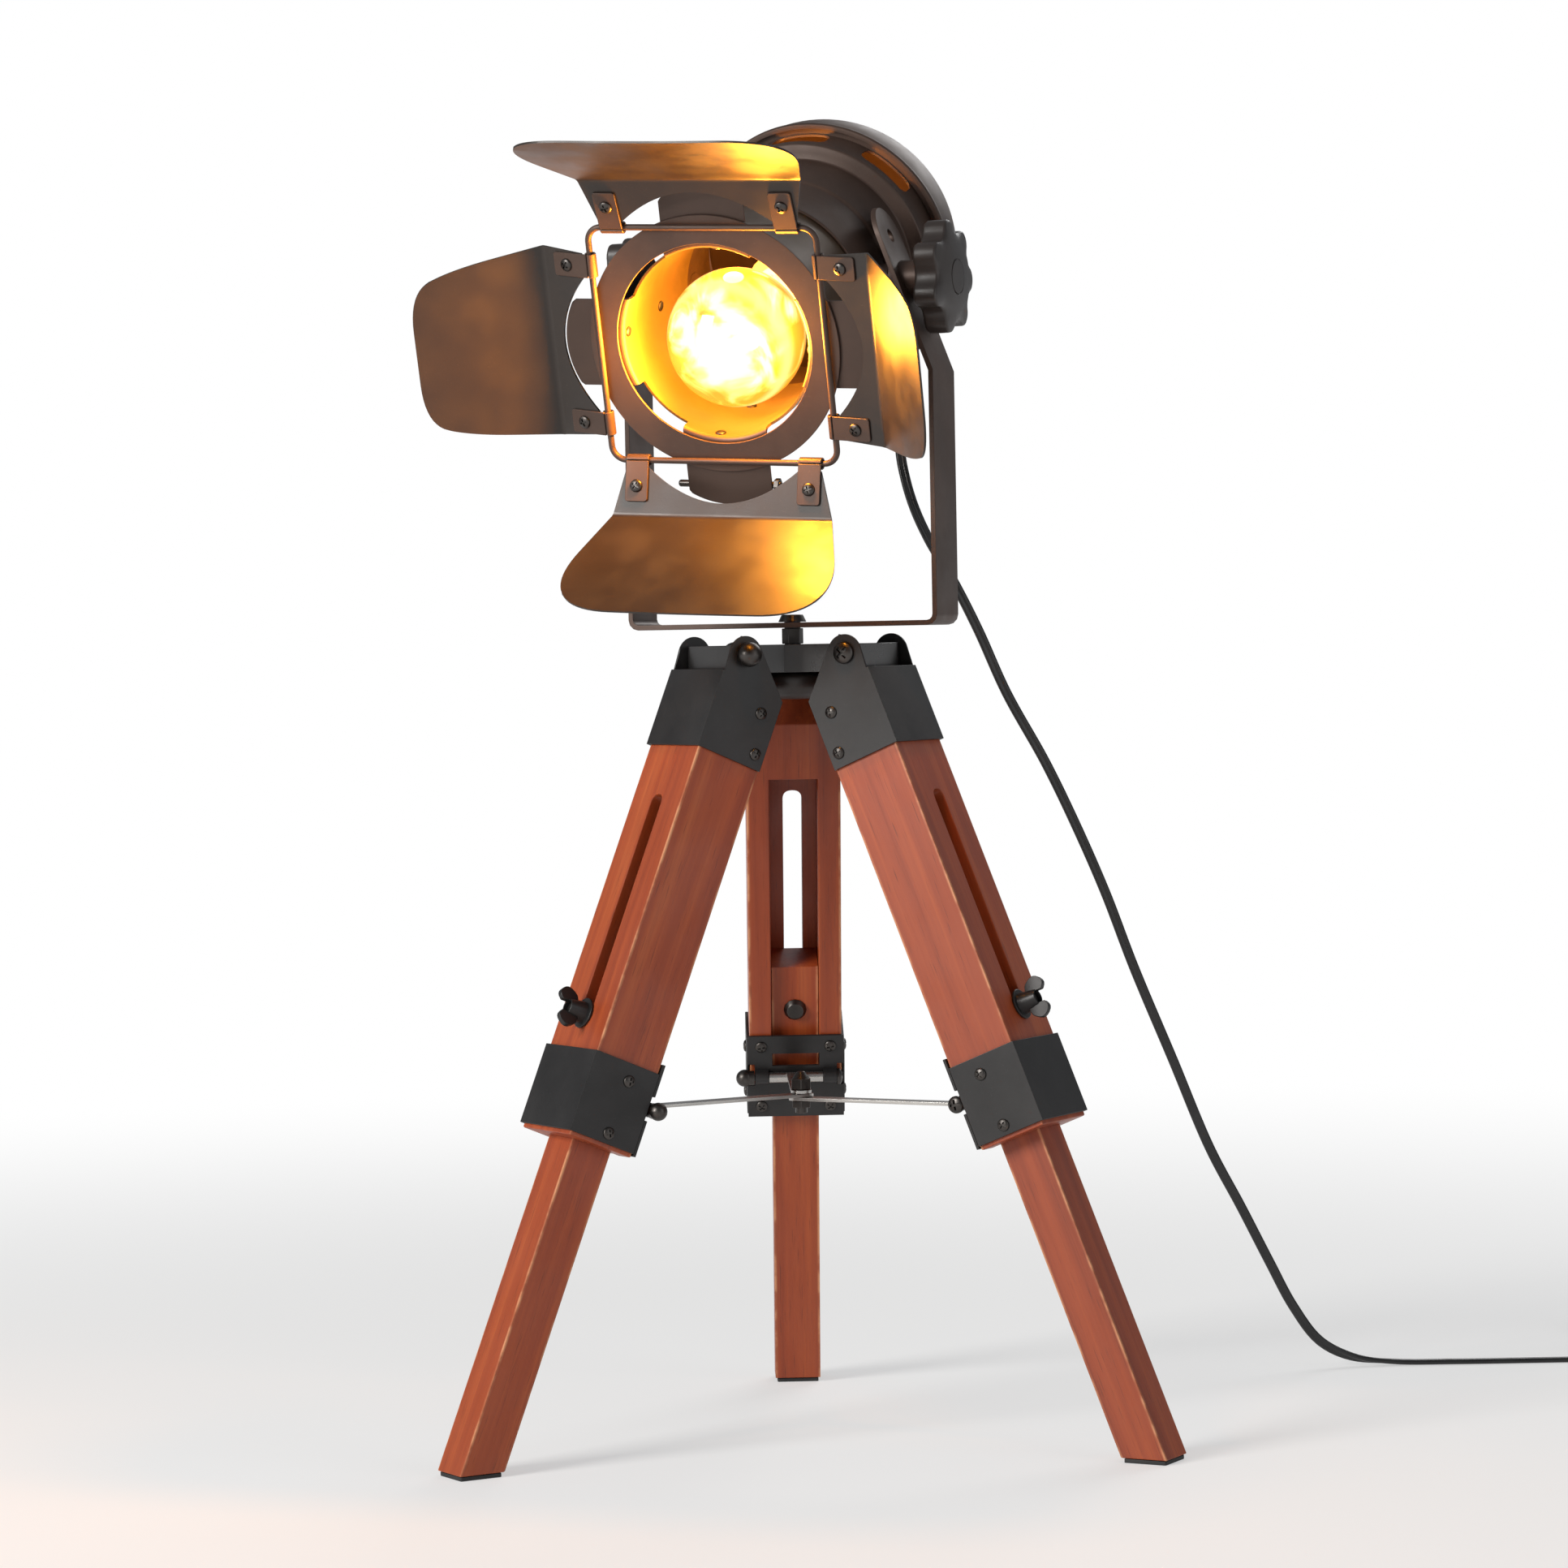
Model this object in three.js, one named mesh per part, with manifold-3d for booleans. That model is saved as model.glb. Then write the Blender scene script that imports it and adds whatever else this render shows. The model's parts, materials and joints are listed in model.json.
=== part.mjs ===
// Tripod table lamp: a small stage light with four barn doors, held by a bent strip yoke on a
// clamp hub over three two-stage wooden legs with a folding spreader. Millimetres, +Z up.
// The pieces are laid out about the hub's upright axis, with the light aimed towards -Y, and the
// whole is then moved so that the origin lies under the middle of the lamp, on the table.

import * as THREE from 'three';
import { mergeVertices } from 'three/addons/utils/BufferGeometryUtils.js';
import Module from 'manifold-3d';

const wasm = await Module();
wasm.setup();

// General clearances and working values
const fitGap = 0.3;             // between pieces that touch
const runGap = 0.4;             // round a shaft that turns
const cutOver = 4;              // overrun of every cut
const roundSides = 24;
const headSides = 28;
const smallSides = 12;
const turnDeg = 360;
const halfTurnDeg = 180;
const quarterDeg = 90;

// Tripod: places of the leg pivots and the lean of the legs
const pivotRadius = 41.6;
const pivotHeight = 385;
const legLeanDeg = 22.4;
const tripodTurnDeg = 1.45;
const legCount = 3;

// Outer legs, measured from the pivot along and across the leg
const outerWidth = 47;
const outerDepth = 35.4;
const pivotInset = 7.9;         // outer face beyond the pivot line
const outerTop = 12;
const outerBottom = 246;
const webThickness = 8.4;
const channelTop = 57;
const slotTop = 75;
const slotWidth = 9.5;
const slotRun = 117;
const bevelDepth = 13.5;
const bevelLength = 15;

// Inner legs and feet
const innerWidth = 23.6;
const innerDepth = 22.1;
const innerTop = 163;
const boltBelowTop = 24;
const padHeight = 2;
const padInset = 1;

// Sheet brackets
const sheet = 1.2;
const earRadius = 9;
const topBracketBottom = 50;
const topBracketInner = 14;
const topBracketOuter = 11;
const lowBracketTop = 204;
const lowBracketLength = 40;
const innerPlateTop = 199;
const innerPlateLength = 46;
const innerPlateThickness = 1.5;
const plateWindowTop = 209;
const plateWindowLength = 7;
const plateWindowWidth = 24;
const plateSideInset = 0.5;

// Leg fasteners
const pivotPinRadius = 2.5;
const screwHeadRadius = 5.3;
const screwHeadHeight = 3;
const ballNutRadius = 6;
const ballNutLength = 7;
const boltRadius = 3;
const boltHeadRadius = 6;
const boltHeadHeight = 2.6;
const washerRadius = 7.5;
const washerThickness = 1.2;
const wingHubRadius = 5;
const wingHubHeight = 9;
const wingSpan = 23;
const wingHeight = 10.5;
const wingTurnDeg = [40, 28, -13];   // as they are left on the three bolts
const wingThickness = 2.6;
const wingRise = 3.5;

// Spreader
const spreaderStation = 221;
const knuckleRadius = 3.4;
const knuckleStart = 14;
const knuckleLength = 7;
const spreaderPinRadius = 1.7;
const armBarrelRadius = 2.7;
const armWidth = 10;
const armThickness = 1.5;
const armEnd = 6;
const armStackGap = 0.3;
const armHoleRadius = 2.2;
const pinBallRadius = 4.4;
const pinNotch = 6;
const pinBallLength = 8;
const pinHeadRadius = 4.2;
const pinHeadHeight = 2.4;
const capNutRadius = 5.4;
const capNutHeight = 8.7;
const centreBoltHead = 5;
const centreBoltHeight = 6;

// Hub and its clamp
const hubHeight = 13.4;
const hubRise = 4.4;             // hub's top above the leg pivots
const hubTopThickness = 3;
const hubWall = 2.4;
const lobeReach = 47.5;
const hubCoreRadius = 31;
const hubBossRadius = 10;
const hubSides = 18;
const panBoltRadius = 4;
const panPostAcross = 10.7;
const panHeadRadius = 7;
const panHeadHeight = 3.6;
const hubKnobRadius = 19.3;
const hubKnobHeight = 13;
const hubKnobBore = 9.5;

// Yoke
const yokeTurnDeg = 22;
const yokeWidth = 30;
const yokeThickness = 2.5;
const yokeBend = 4;
const yokeSlantDeg = 21.4;
const postHeight = 8.2;         // hub's top to the yoke's underside
const tiltRise = 167.4;         // yoke's underside to the tilt axis
const shoulderDrop = 45;        // tilt axis down to the bend of the arms
const armRise = 35;             // tilt axis up to the ends of the arms
const spareHoleRise = 21.3;
const spareHoleRadius = 3.2;
const yokeBossRadius = 9;
const bossOutward = 9.6;
const bossInward = 5.9;
const trunnionReach = 6.3;      // housing's side to the boss of the yoke

// Tilt axis and knobs
const headPitchDeg = 20;
const tiltBoltRadius = 3;
const trunnionRadius = 8;
const trunnionSink = 2.6;
const knobLobes = 7;
const knobRadius = 24.6;
const knobLobeDepth = 2.8;
const knobThickness = 15;
const knobCollarRadius = 9;
const knobCollar = 2.4;
const knobCapRadius = 8.3;
const knobCapHeight = 0.5;

// Head: housing in three tiers, from the front collar to the vented band
const headWall = 1.2;
const housingFront = 24;        // ahead of the tilt axis
const tierEnds = [6, 32, 54];   // rear end of each tier, behind the tilt axis
const tierRises = [1.1, 4.5, 6.8];   // radius gained from each rear end to the next
const middleTaper = 2.7;        // radius gained along the second tier
const tierSlope = 2.4;
const flangeThickness = 1.5;
const ventCount = 8;
const ventSpanDeg = 27;
const ventWidth = 12.5;
const ventSetback = 0.6;

// Back cap
const capStep = 4.5;            // cap's side outside the vented band
const capFront = 50;            // behind the tilt axis
const capDomeStart = 56;
const capDomeDepth = 63;
const capDomeSteps = 9;
const capBeadRadius = 1.4;

// Front barrel with its four straps, ring and wire frame
const barrelRadius = 47.4;
const barrelRear = 14;
const barrelFront = 89.5;
const strapWidth = 43;
const strapEnd = 96.5;
const earReaches = [76, 76, 80, 76];   // top, right, bottom and left
const earRound = 6;             // rise of the ear's round end
const ringThickness = 1.2;
const ringInner = 49;
const ringOuter = 63;
const frontRollDeg = 3;
const wireHalf = 57.5;
const wireRadius = 1.5;
const wireBend = 7;
const wireSides = 8;
const wireBendSteps = 3;

// Barn doors
const leafSheet = 1;
const hookWall = 1.1;
const clipWidth = 11.5;
const clipLength = 20;
const flangeLength = 27;
const flapBendDeg = 45;
const flapLength = 66;
const leafEdge = 3.8;
const wideClip = 44;
const wideBend = 56;
const wideFlare = 71;
const narrowClip = 39;
const narrowBend = 47;
const narrowFlare = 41;
const arcDepth = 16.2;
const topLeafDeg = 75;
const rightLeafDeg = 82;
const bottomLeafDeg = 68;
const leftLeafDeg = 105;

// Bulb, socket and its bracket
const bulbRadius = 33.4;
const bulbReach = 137;
const bulbNeckRadius = 14;
const bulbNeckFlare = 20;
const bulbBaseRadius = 13;
const bulbBaseStart = 20;
const bulbBaseLength = 25;
const bulbBaseTaper = 2.5;
const bulbBore = 3;
const glassWall = 1.2;
const bulbSides = 20;
const bulbSteps = 7;
const socketRadius = 19.5;
const socketLength = 42;
const socketWall = 5;
const socketStem = 6;
const bracketWidth = 16;
const bracketBack = 44;
const bracketThickness = 1.2;
const bulbDroopDeg = 4.3;
const bulbSwayDeg = 2.3;
const socketStandoff = 1.2;

// Strain relief and cord
const cordDiameter = 5.2;
const cordSides = 8;
const cordSteps = 60;
const tailSteps = 18;
const bootAngleDeg = 36;
const bootLength = 32;
const bootSink = 3.8;           // boot's root inside the cap's face
const bootRootRadius = 5.6;
const bootTipRadius = 3.4;
const bootFlangeRadius = 8;
const bootFlangeThickness = 1.4;
const coilInnerRadius = 21;
const coilTurnsPerLayer = 2.5;
const coilPitch = 5.9;
const coilLead = 36;
const coilSteps = 24;
const coilSides = 6;
const coilCentreX = 463;
const cordFloorY = 194;
const switchLength = 58;
const switchWidth = 28;
const switchHeight = 17;
const switchRound = 6;
const rockerLength = 17;
const rockerWidth = 11;
const rockerRise = 1.8;
const rockerDepth = 5;
const tailStraight = 22;
const tailBack = 12;
const tailLead = 4;
const tailDropShares = [0.15, 0.5, 0.85, 1, 1, 1, 0.85, 0.5, 0.15];
const tailTurnRadius = 27;
const plugLength = 34;
const plugWidth = 25;
const plugHeight = 16;
const plugNoseRadius = 5;
const plugNoseLength = 12;
const bladeLength = 16;
const bladeWidth = 6.4;
const bladeThickness = 1.6;
const bladeSpacing = 12.7;

// The cord's free route, chosen by hand, about the hub's axis
const cordRoute = [
  [49.5, 122.5, 527.1], [52.4, 129.7, 523.1], [54.8, 135.4, 515.8], [56.1, 137.7, 506.6],
  [56.7, 136.7, 497.0], [58.2, 132.9, 481.0], [63.0, 128.5, 461.0], [70.5, 127.0, 443.0],
  [84.0, 128.5, 419.0],
  [95.8, 132.0, 395.0], [110.2, 138.0, 362.0], [130.0, 144.0, 325.5], [145.3, 149.0, 293.0],
  [160.5, 153.5, 257.0], [175.2, 158.0, 217.0], [195.2, 165.0, 167.8], [214.5, 172.0, 120.0],
  [231.0, 178.0, 88.0], [246.0, 184.5, 58.0], [259.0, 189.0, 33.0], [273.0, 192.0, 14.5],
  [290.0, 193.5, 6.0], [312.0, 194.0, 3.3], [345.0, 194.0, 2.7], [390.0, 194.0, 2.6],
  [430.0, 194.0, 2.6],
];

// Derived places
const wallOffset = outerWidth / 2 + fitGap;          // inner face of a bracket's side
const sideOffset = wallOffset + sheet;               // outer face of a bracket's side
const innerFace = pivotInset - outerDepth;           // side of the leg that faces the axis
const webInner = pivotInset - webThickness;
const innerLegFront = webInner - fitGap;
const innerLegBack = innerLegFront - innerDepth;
const boltStation = innerTop + boltBelowTop;
const plateFace = innerFace - fitGap - innerPlateThickness;
const pinOffset = plateFace - armBarrelRadius - fitGap;
const ringFront = strapEnd + fitGap + ringThickness;
const wirePlane = ringFront + fitGap + wireRadius;
const lean = THREE.MathUtils.degToRad(legLeanDeg);
const slant = Math.tan(THREE.MathUtils.degToRad(yokeSlantDeg));
const hubTop = pivotHeight + hubRise;
const hubUnderside = hubTop - hubHeight;
const yokeBottom = hubTop + postHeight;
const tiltHeight = yokeBottom + tiltRise;
const yokeShoulder = tiltHeight - shoulderDrop;
const yokeTop = tiltHeight + armRise;
const collarRadius = barrelRadius + fitGap + headWall;
const tierRadii = tierRises.map((_, i) => tierRises.slice(0, i + 1).reduce((sum, rise) => sum + rise, collarRadius));
const tierFronts = [collarRadius, tierRadii[1] - middleTaper, tierRadii[2]];
const bandRadius = tierRadii[2];
const bandEnd = tierEnds[2];
const capRadius = bandRadius + capStep;
const bootSeat = domeReach();
const bootRoot = bootSeat - bootSink;
const bootTip = bootRoot + bootLength;
const trunnionRoot = tierRadii[0];                    // tier beside the tilt axis
const yokeBossInner = trunnionRoot + trunnionReach;
const yokeBossOuter = yokeBossInner + bossInward + bossOutward;
const yokeHalf = yokeBossInner + bossInward + shoulderDrop * slant;

// Distance from the tilt axis to the cap's dome along the boot's line
function domeReach() {
  const across = Math.sin(THREE.MathUtils.degToRad(bootAngleDeg)) / capRadius;
  const rearward = Math.cos(THREE.MathUtils.degToRad(bootAngleDeg)) / capDomeDepth;
  const start = capDomeStart / capDomeDepth;
  const a = across * across + rearward * rearward;
  const b = rearward * start;
  return (b + Math.sqrt(b * b - a * (start * start - 1))) / a;
}

// Colours and finishes
const finishes = {
  wood: [0x9a4a26, 0.45, 0.0],
  blackSheet: [0x1c1b1b, 0.45, 0.6],
  castBlack: [0x262424, 0.4, 0.6],
  bronze: [0x463c37, 0.55, 0.5],
  knobPlastic: [0x2c2624, 0.5, 0.0],
  darkScrew: [0x3a3634, 0.35, 0.9],
  brightSteel: [0x9c9a96, 0.3, 0.95],
  rubber: [0x151515, 0.7, 0.0],
  glass: [0xffb347, 0.1, 0.0],
  porcelain: [0xd8d2c4, 0.4, 0.0],
  cord: [0x111111, 0.35, 0.0],
  brass: [0xb08d4a, 0.3, 1.0],
};

// Solids: closed geometry to a solid and back

function toSolid(geometry) {
  const bare = geometry.clone();
  bare.deleteAttribute('normal');
  bare.deleteAttribute('uv');
  const merged = mergeVertices(bare);
  const points = merged.attributes.position;
  const index = merged.index.array;
  const kept = [];
  const a = new THREE.Vector3();
  const b = new THREE.Vector3();
  const c = new THREE.Vector3();
  let volume = 0;
  for (let i = 0; i < index.length; i += 3) {
    if (index[i] === index[i + 1] || index[i + 1] === index[i + 2] || index[i] === index[i + 2]) continue;
    a.fromBufferAttribute(points, index[i]);
    b.fromBufferAttribute(points, index[i + 1]);
    c.fromBufferAttribute(points, index[i + 2]);
    volume += a.dot(b.cross(c));
    kept.push(index[i], index[i + 1], index[i + 2]);
  }
  if (volume < 0) kept.reverse();
  const solid = new wasm.Manifold(new wasm.Mesh({
    numProp: 3,
    vertProperties: new Float32Array(points.array),
    triVerts: new Uint32Array(kept),
  }));
  return solid;
}

function toGeometry(solid) {
  const mesh = solid.getMesh();
  const geometry = new THREE.BufferGeometry();
  const stride = mesh.numProp;
  const count = mesh.vertProperties.length / stride;
  const points = new Float32Array(count * 3);
  for (let i = 0; i < count; i += 1) {
    for (let k = 0; k < 3; k += 1) points[i * 3 + k] = mesh.vertProperties[i * stride + k];
  }
  geometry.setAttribute('position', new THREE.BufferAttribute(points, 3));
  geometry.setIndex(new THREE.BufferAttribute(new Uint32Array(mesh.triVerts), 1));
  geometry.computeVertexNormals();
  return geometry;
}

function joined(...solids) {
  return solids.reduce((whole, piece) => whole.add(piece));
}

function cut(base, ...tools) {
  return tools.reduce((whole, tool) => whole.subtract(tool), base);
}

// Basic shapes, each a solid between stated coordinates

function block(x0, x1, y0, y1, z0, z1) {
  const geometry = new THREE.BoxGeometry(x1 - x0, y1 - y0, z1 - z0);
  geometry.translate((x0 + x1) / 2, (y0 + y1) / 2, (z0 + z1) / 2);
  return toSolid(geometry);
}

// A rod along one axis; u and v are the other two coordinates in x, y, z order
function rodGeometry(axis, from, to, u, v, radius, sides = smallSides, endRadius = radius) {
  const geometry = new THREE.CylinderGeometry(endRadius, radius, to - from, sides);
  geometry.translate(0, (from + to) / 2, 0);
  if (axis === 'z') {
    geometry.rotateX(Math.PI / 2);
    geometry.translate(u, v, 0);
  } else if (axis === 'x') {
    geometry.rotateZ(-Math.PI / 2);
    geometry.translate(0, u, v);
  } else {
    geometry.translate(u, 0, v);
  }
  return geometry;
}

function rod(...values) {
  return toSolid(rodGeometry(...values));
}

// A flat outline pushed along an axis: in x, y, z order its two coordinates are the others
function slab(shape, axis, from, to, segments = 8) {
  const geometry = new THREE.ExtrudeGeometry(shape, {
    depth: to - from,
    bevelEnabled: false,
    curveSegments: segments,
  });
  geometry.translate(0, 0, from);
  const swap = new THREE.Matrix4();
  if (axis === 'x') swap.set(0, 0, 1, 0, 1, 0, 0, 0, 0, 1, 0, 0, 0, 0, 0, 1);
  if (axis === 'y') swap.set(1, 0, 0, 0, 0, 0, 1, 0, 0, 1, 0, 0, 0, 0, 0, 1);
  geometry.applyMatrix4(swap);
  return toSolid(geometry);
}

// An outline of straight sides whose corners [u, v, round] may be rounded
function outline(corners) {
  const shape = new THREE.Shape();
  const n = corners.length;
  corners.forEach(([u, v, round = 0], i) => {
    const here = new THREE.Vector2(u, v);
    const before = new THREE.Vector2(...corners[(i + n - 1) % n].slice(0, 2)).sub(here);
    const after = new THREE.Vector2(...corners[(i + 1) % n].slice(0, 2)).sub(here);
    const start = here.clone().add(before.setLength(Math.min(round, before.length() / 2)));
    const end = here.clone().add(after.setLength(Math.min(round, after.length() / 2)));
    if (i === 0) shape.moveTo(start.x, start.y);
    else shape.lineTo(start.x, start.y);
    if (round > 0) shape.quadraticCurveTo(u, v, end.x, end.y);
  });
  shape.closePath();
  return shape;
}

// A turned piece about the local Y axis, from [radius, y] points
function turned(points, sides = roundSides) {
  return toSolid(new THREE.LatheGeometry(points.map(([r, y]) => new THREE.Vector2(r, y)), sides));
}

// A round bar along points that lie near one plane, ring by ring; closed joins its two ends
function swept(points, radius, sides, normal, closed, firstWay, lastWay) {
  const count = points.length;
  const rings = points.map((point, i) => {
    const before = closed ? points[(i + count - 1) % count] : points[Math.max(i - 1, 0)];
    const after = closed ? points[(i + 1) % count] : points[Math.min(i + 1, count - 1)];
    const inward = point.clone().sub(before).normalize();
    const outward = after.clone().sub(point).normalize();
    const forward = inward.clone().add(outward).normalize();
    if (!closed && i === 0) forward.copy(firstWay);
    if (!closed && i === count - 1) forward.copy(lastWay);
    const mitre = closed ? 1 / Math.max(forward.dot(outward), 0.5) : 1;
    const side = forward.clone().cross(normal).normalize();
    const up = side.clone().cross(forward).normalize();
    const ring = [];
    for (let k = 0; k < sides; k += 1) {
      const t = ((k + 0.5) / sides) * Math.PI * 2;
      ring.push(point.clone().addScaledVector(side, mitre * radius * Math.cos(t))
        .addScaledVector(up, radius * Math.sin(t)));
    }
    return ring;
  });
  const index = [];
  const links = closed ? count : count - 1;
  for (let i = 0; i < links; i += 1) {
    for (let k = 0; k < sides; k += 1) {
      const a = i * sides + k;
      const b = i * sides + ((k + 1) % sides);
      const c = ((i + 1) % count) * sides + ((k + 1) % sides);
      const d = ((i + 1) % count) * sides + k;
      index.push(a, b, c, a, c, d);
    }
  }
  const last = (count - 1) * sides;
  for (let k = 1; k + 1 < sides && !closed; k += 1) index.push(0, k + 1, k, last, last + k, last + k + 1);
  const geometry = new THREE.BufferGeometry();
  geometry.setAttribute('position', new THREE.Float32BufferAttribute(rings.flat().flatMap((p) => p.toArray()), 3));
  geometry.setIndex(index);
  return toSolid(geometry);
}

function shifted(solid, matrix) {
  const geometry = toGeometry(solid);
  geometry.applyMatrix4(matrix);
  return toSolid(geometry);
}

function turnAbout(axis, degrees) {
  const matrix = new THREE.Matrix4();
  return matrix[`makeRotation${axis}`](THREE.MathUtils.degToRad(degrees));
}

function piece(name, solid, finish, parent) {
  const [color, roughness, metalness] = finishes[finish];
  const material = new THREE.MeshStandardMaterial({ color, roughness, metalness });
  const geometry = solid.isBufferGeometry ? solid : toGeometry(solid);
  const mesh = new THREE.Mesh(geometry, material);
  mesh.name = name;
  parent.add(mesh);
  return mesh;
}

const lamp = new THREE.Group();
const stand = new THREE.Group();
lamp.add(stand);

// Hub: a lobed plate with a skirt, a lobe for each leg between its two ears

function legAzimuth(i) {
  return quarterDeg + tripodTurnDeg + (i * turnDeg) / legCount;
}

function hubBody(inset, bottom, top) {
  const half = outerWidth / 2 - inset;
  const parts = [rod('z', bottom, top, 0, 0, hubCoreRadius - inset, hubSides)];
  for (let i = 0; i < legCount; i += 1) {
    const lobe = outline([
      [0, -half], [lobeReach - inset, -half, hubWall * 2],
      [lobeReach - inset, half, hubWall * 2], [0, half],
    ]);
    parts.push(shifted(slab(lobe, 'z', bottom, top, 4), turnAbout('Z', legAzimuth(i))));
  }
  return joined(...parts);
}

function hub() {
  const hollow = hubBody(hubWall, hubUnderside - cutOver, hubTop - hubTopThickness);
  const boss = rod('z', hubUnderside, hubTop, 0, 0, hubBossRadius);
  const rails = [];
  const holes = [];
  for (let i = 0; i < legCount; i += 1) {
    const place = turnAbout('Z', legAzimuth(i));
    const rail = block(0, lobeReach - hubWall, -hubWall / 2, hubWall / 2, hubUnderside, hubTop);
    rails.push(shifted(rail, place));
    const bore = rod('y', -outerWidth, outerWidth, pivotRadius, pivotHeight, pivotPinRadius + runGap);
    holes.push(shifted(bore, place));
  }
  const shaft = rod('z', hubUnderside - cutOver, hubTop + cutOver, 0, 0, panBoltRadius + runGap);
  return cut(joined(cut(hubBody(0, hubUnderside, hubTop), hollow), boss, ...rails), shaft, ...holes);
}

function hubKnob() {
  const r = hubKnobRadius;
  const h = hubKnobHeight;
  const body = turned([[0, 0], [r * 0.55, 0], [r * 0.72, h * 0.12], [r, h * 0.55], [r, h * 0.85],
    [r * 0.92, h], [0, h]]);
  const bore = rod('y', h - hubKnobBore, h + cutOver, 0, 0, panBoltRadius + runGap);
  return shifted(cut(body, bore), turnAbout('X', quarterDeg));
}

piece('hub', hub(), 'castBlack', stand);
const hubKnobMesh = piece('hub_clamp_knob', hubKnob(), 'knobPlastic', stand);
hubKnobMesh.position.z = hubUnderside - fitGap - hubKnobHeight;

// Legs. In a leg's own frame x is outward across the leg, y along the pivot and z up the leg

const legFrame = new THREE.Matrix4().makeRotationY(-lean).setPosition(pivotRadius, 0, pivotHeight);
const intoLeg = legFrame.clone().invert();

function outerLeg() {
  const half = outerWidth / 2;
  const groove = innerWidth / 2 + fitGap;
  const body = block(innerFace, pivotInset, -half, half, -outerBottom, -outerTop);
  const channel = block(innerFace - cutOver, webInner, -groove, groove, -outerBottom - cutOver, -channelTop);
  const slotHalf = slotWidth / 2;
  const slotEnd = slotTop + slotRun;
  const slot = slab(outline([
    [-slotHalf, -slotEnd, slotHalf], [slotHalf, -slotEnd, slotHalf],
    [slotHalf, -slotTop, slotHalf], [-slotHalf, -slotTop, slotHalf],
  ]), 'x', webInner - cutOver, pivotInset + cutOver);
  const bevel = slab(outline([
    [innerFace - cutOver, -outerTop + cutOver], [innerFace + bevelDepth, -outerTop + cutOver],
    [innerFace + bevelDepth, -outerTop], [innerFace, -outerTop - bevelLength],
    [innerFace - cutOver, -outerTop - bevelLength],
  ]), 'y', -outerWidth, outerWidth);
  return cut(body, channel, slot, bevel);
}

function innerLeg() {
  const half = innerWidth / 2;
  const reach = (pivotHeight / Math.cos(lean)) + outerDepth;
  const body = block(innerLegBack, innerLegFront, -half, half, -reach, -innerTop);
  const ground = new THREE.BoxGeometry(reach * 2, reach, reach);
  ground.translate(0, 0, padHeight + fitGap - reach / 2);
  ground.applyMatrix4(intoLeg);
  const bore = rod('x', innerLegBack - cutOver, innerLegFront + cutOver, 0, -boltStation, boltRadius + fitGap);
  return cut(body, toSolid(ground), bore);
}

// How far from the hub's axis a line along the leg meets a height
function radiusAt(across, height) {
  return pivotRadius + (pivotHeight - height) * Math.tan(lean) + across / Math.cos(lean);
}

function footPad() {
  const half = innerWidth / 2 - padInset;
  const from = radiusAt(innerLegBack, padHeight) + padInset;
  const to = radiusAt(innerLegFront, padHeight) - padInset;
  const sole = outline([[from, -half, padInset], [to, -half, padInset], [to, half, padInset],
    [from, half, padInset]]);
  return slab(sole, 'z', 0, padHeight, 2);
}

// Angle of the point where a line from a corner touches the round ear
function tangentAngle(u, v, side) {
  const away = Math.hypot(u, v);
  return Math.atan2(v, u) + side * Math.acos(earRadius / away);
}

function earOutline() {
  const outer = pivotInset + fitGap;
  const shape = new THREE.Shape();
  const inner = tangentAngle(innerFace, -topBracketInner, -1);
  const front = tangentAngle(outer, -topBracketOuter, 1);
  shape.moveTo(innerFace, -topBracketBottom);
  shape.lineTo(innerFace, -topBracketInner);
  shape.lineTo(earRadius * Math.cos(inner), earRadius * Math.sin(inner));
  shape.absarc(0, 0, earRadius, inner, front, true);
  shape.lineTo(outer, -topBracketOuter);
  shape.lineTo(outer, -topBracketBottom);
  shape.closePath();
  return shape;
}

function topBracket() {
  const outer = pivotInset + fitGap;
  const sides = [slab(earOutline(), 'y', wallOffset, sideOffset, 10),
    slab(earOutline(), 'y', -sideOffset, -wallOffset, 10)];
  const face = block(outer, outer + sheet, -sideOffset, sideOffset, -topBracketBottom, -topBracketOuter);
  const bore = rod('y', -outerWidth, outerWidth, 0, 0, pivotPinRadius + runGap);
  const overlap = block(outer - sheet, outer + sheet, wallOffset, sideOffset, -topBracketBottom, -topBracketOuter);
  const other = block(outer - sheet, outer + sheet, -sideOffset, -wallOffset, -topBracketBottom, -topBracketOuter);
  return cut(joined(...sides, face, overlap, other), bore);
}

function lowerBracket() {
  const outer = pivotInset + fitGap;
  const bottom = -lowBracketTop - lowBracketLength;
  const shell = block(innerFace, outer + sheet, -sideOffset, sideOffset, bottom, -lowBracketTop);
  const space = block(innerFace - cutOver, outer, -wallOffset, wallOffset, bottom - cutOver, -lowBracketTop + cutOver);
  return cut(shell, space);
}

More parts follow.
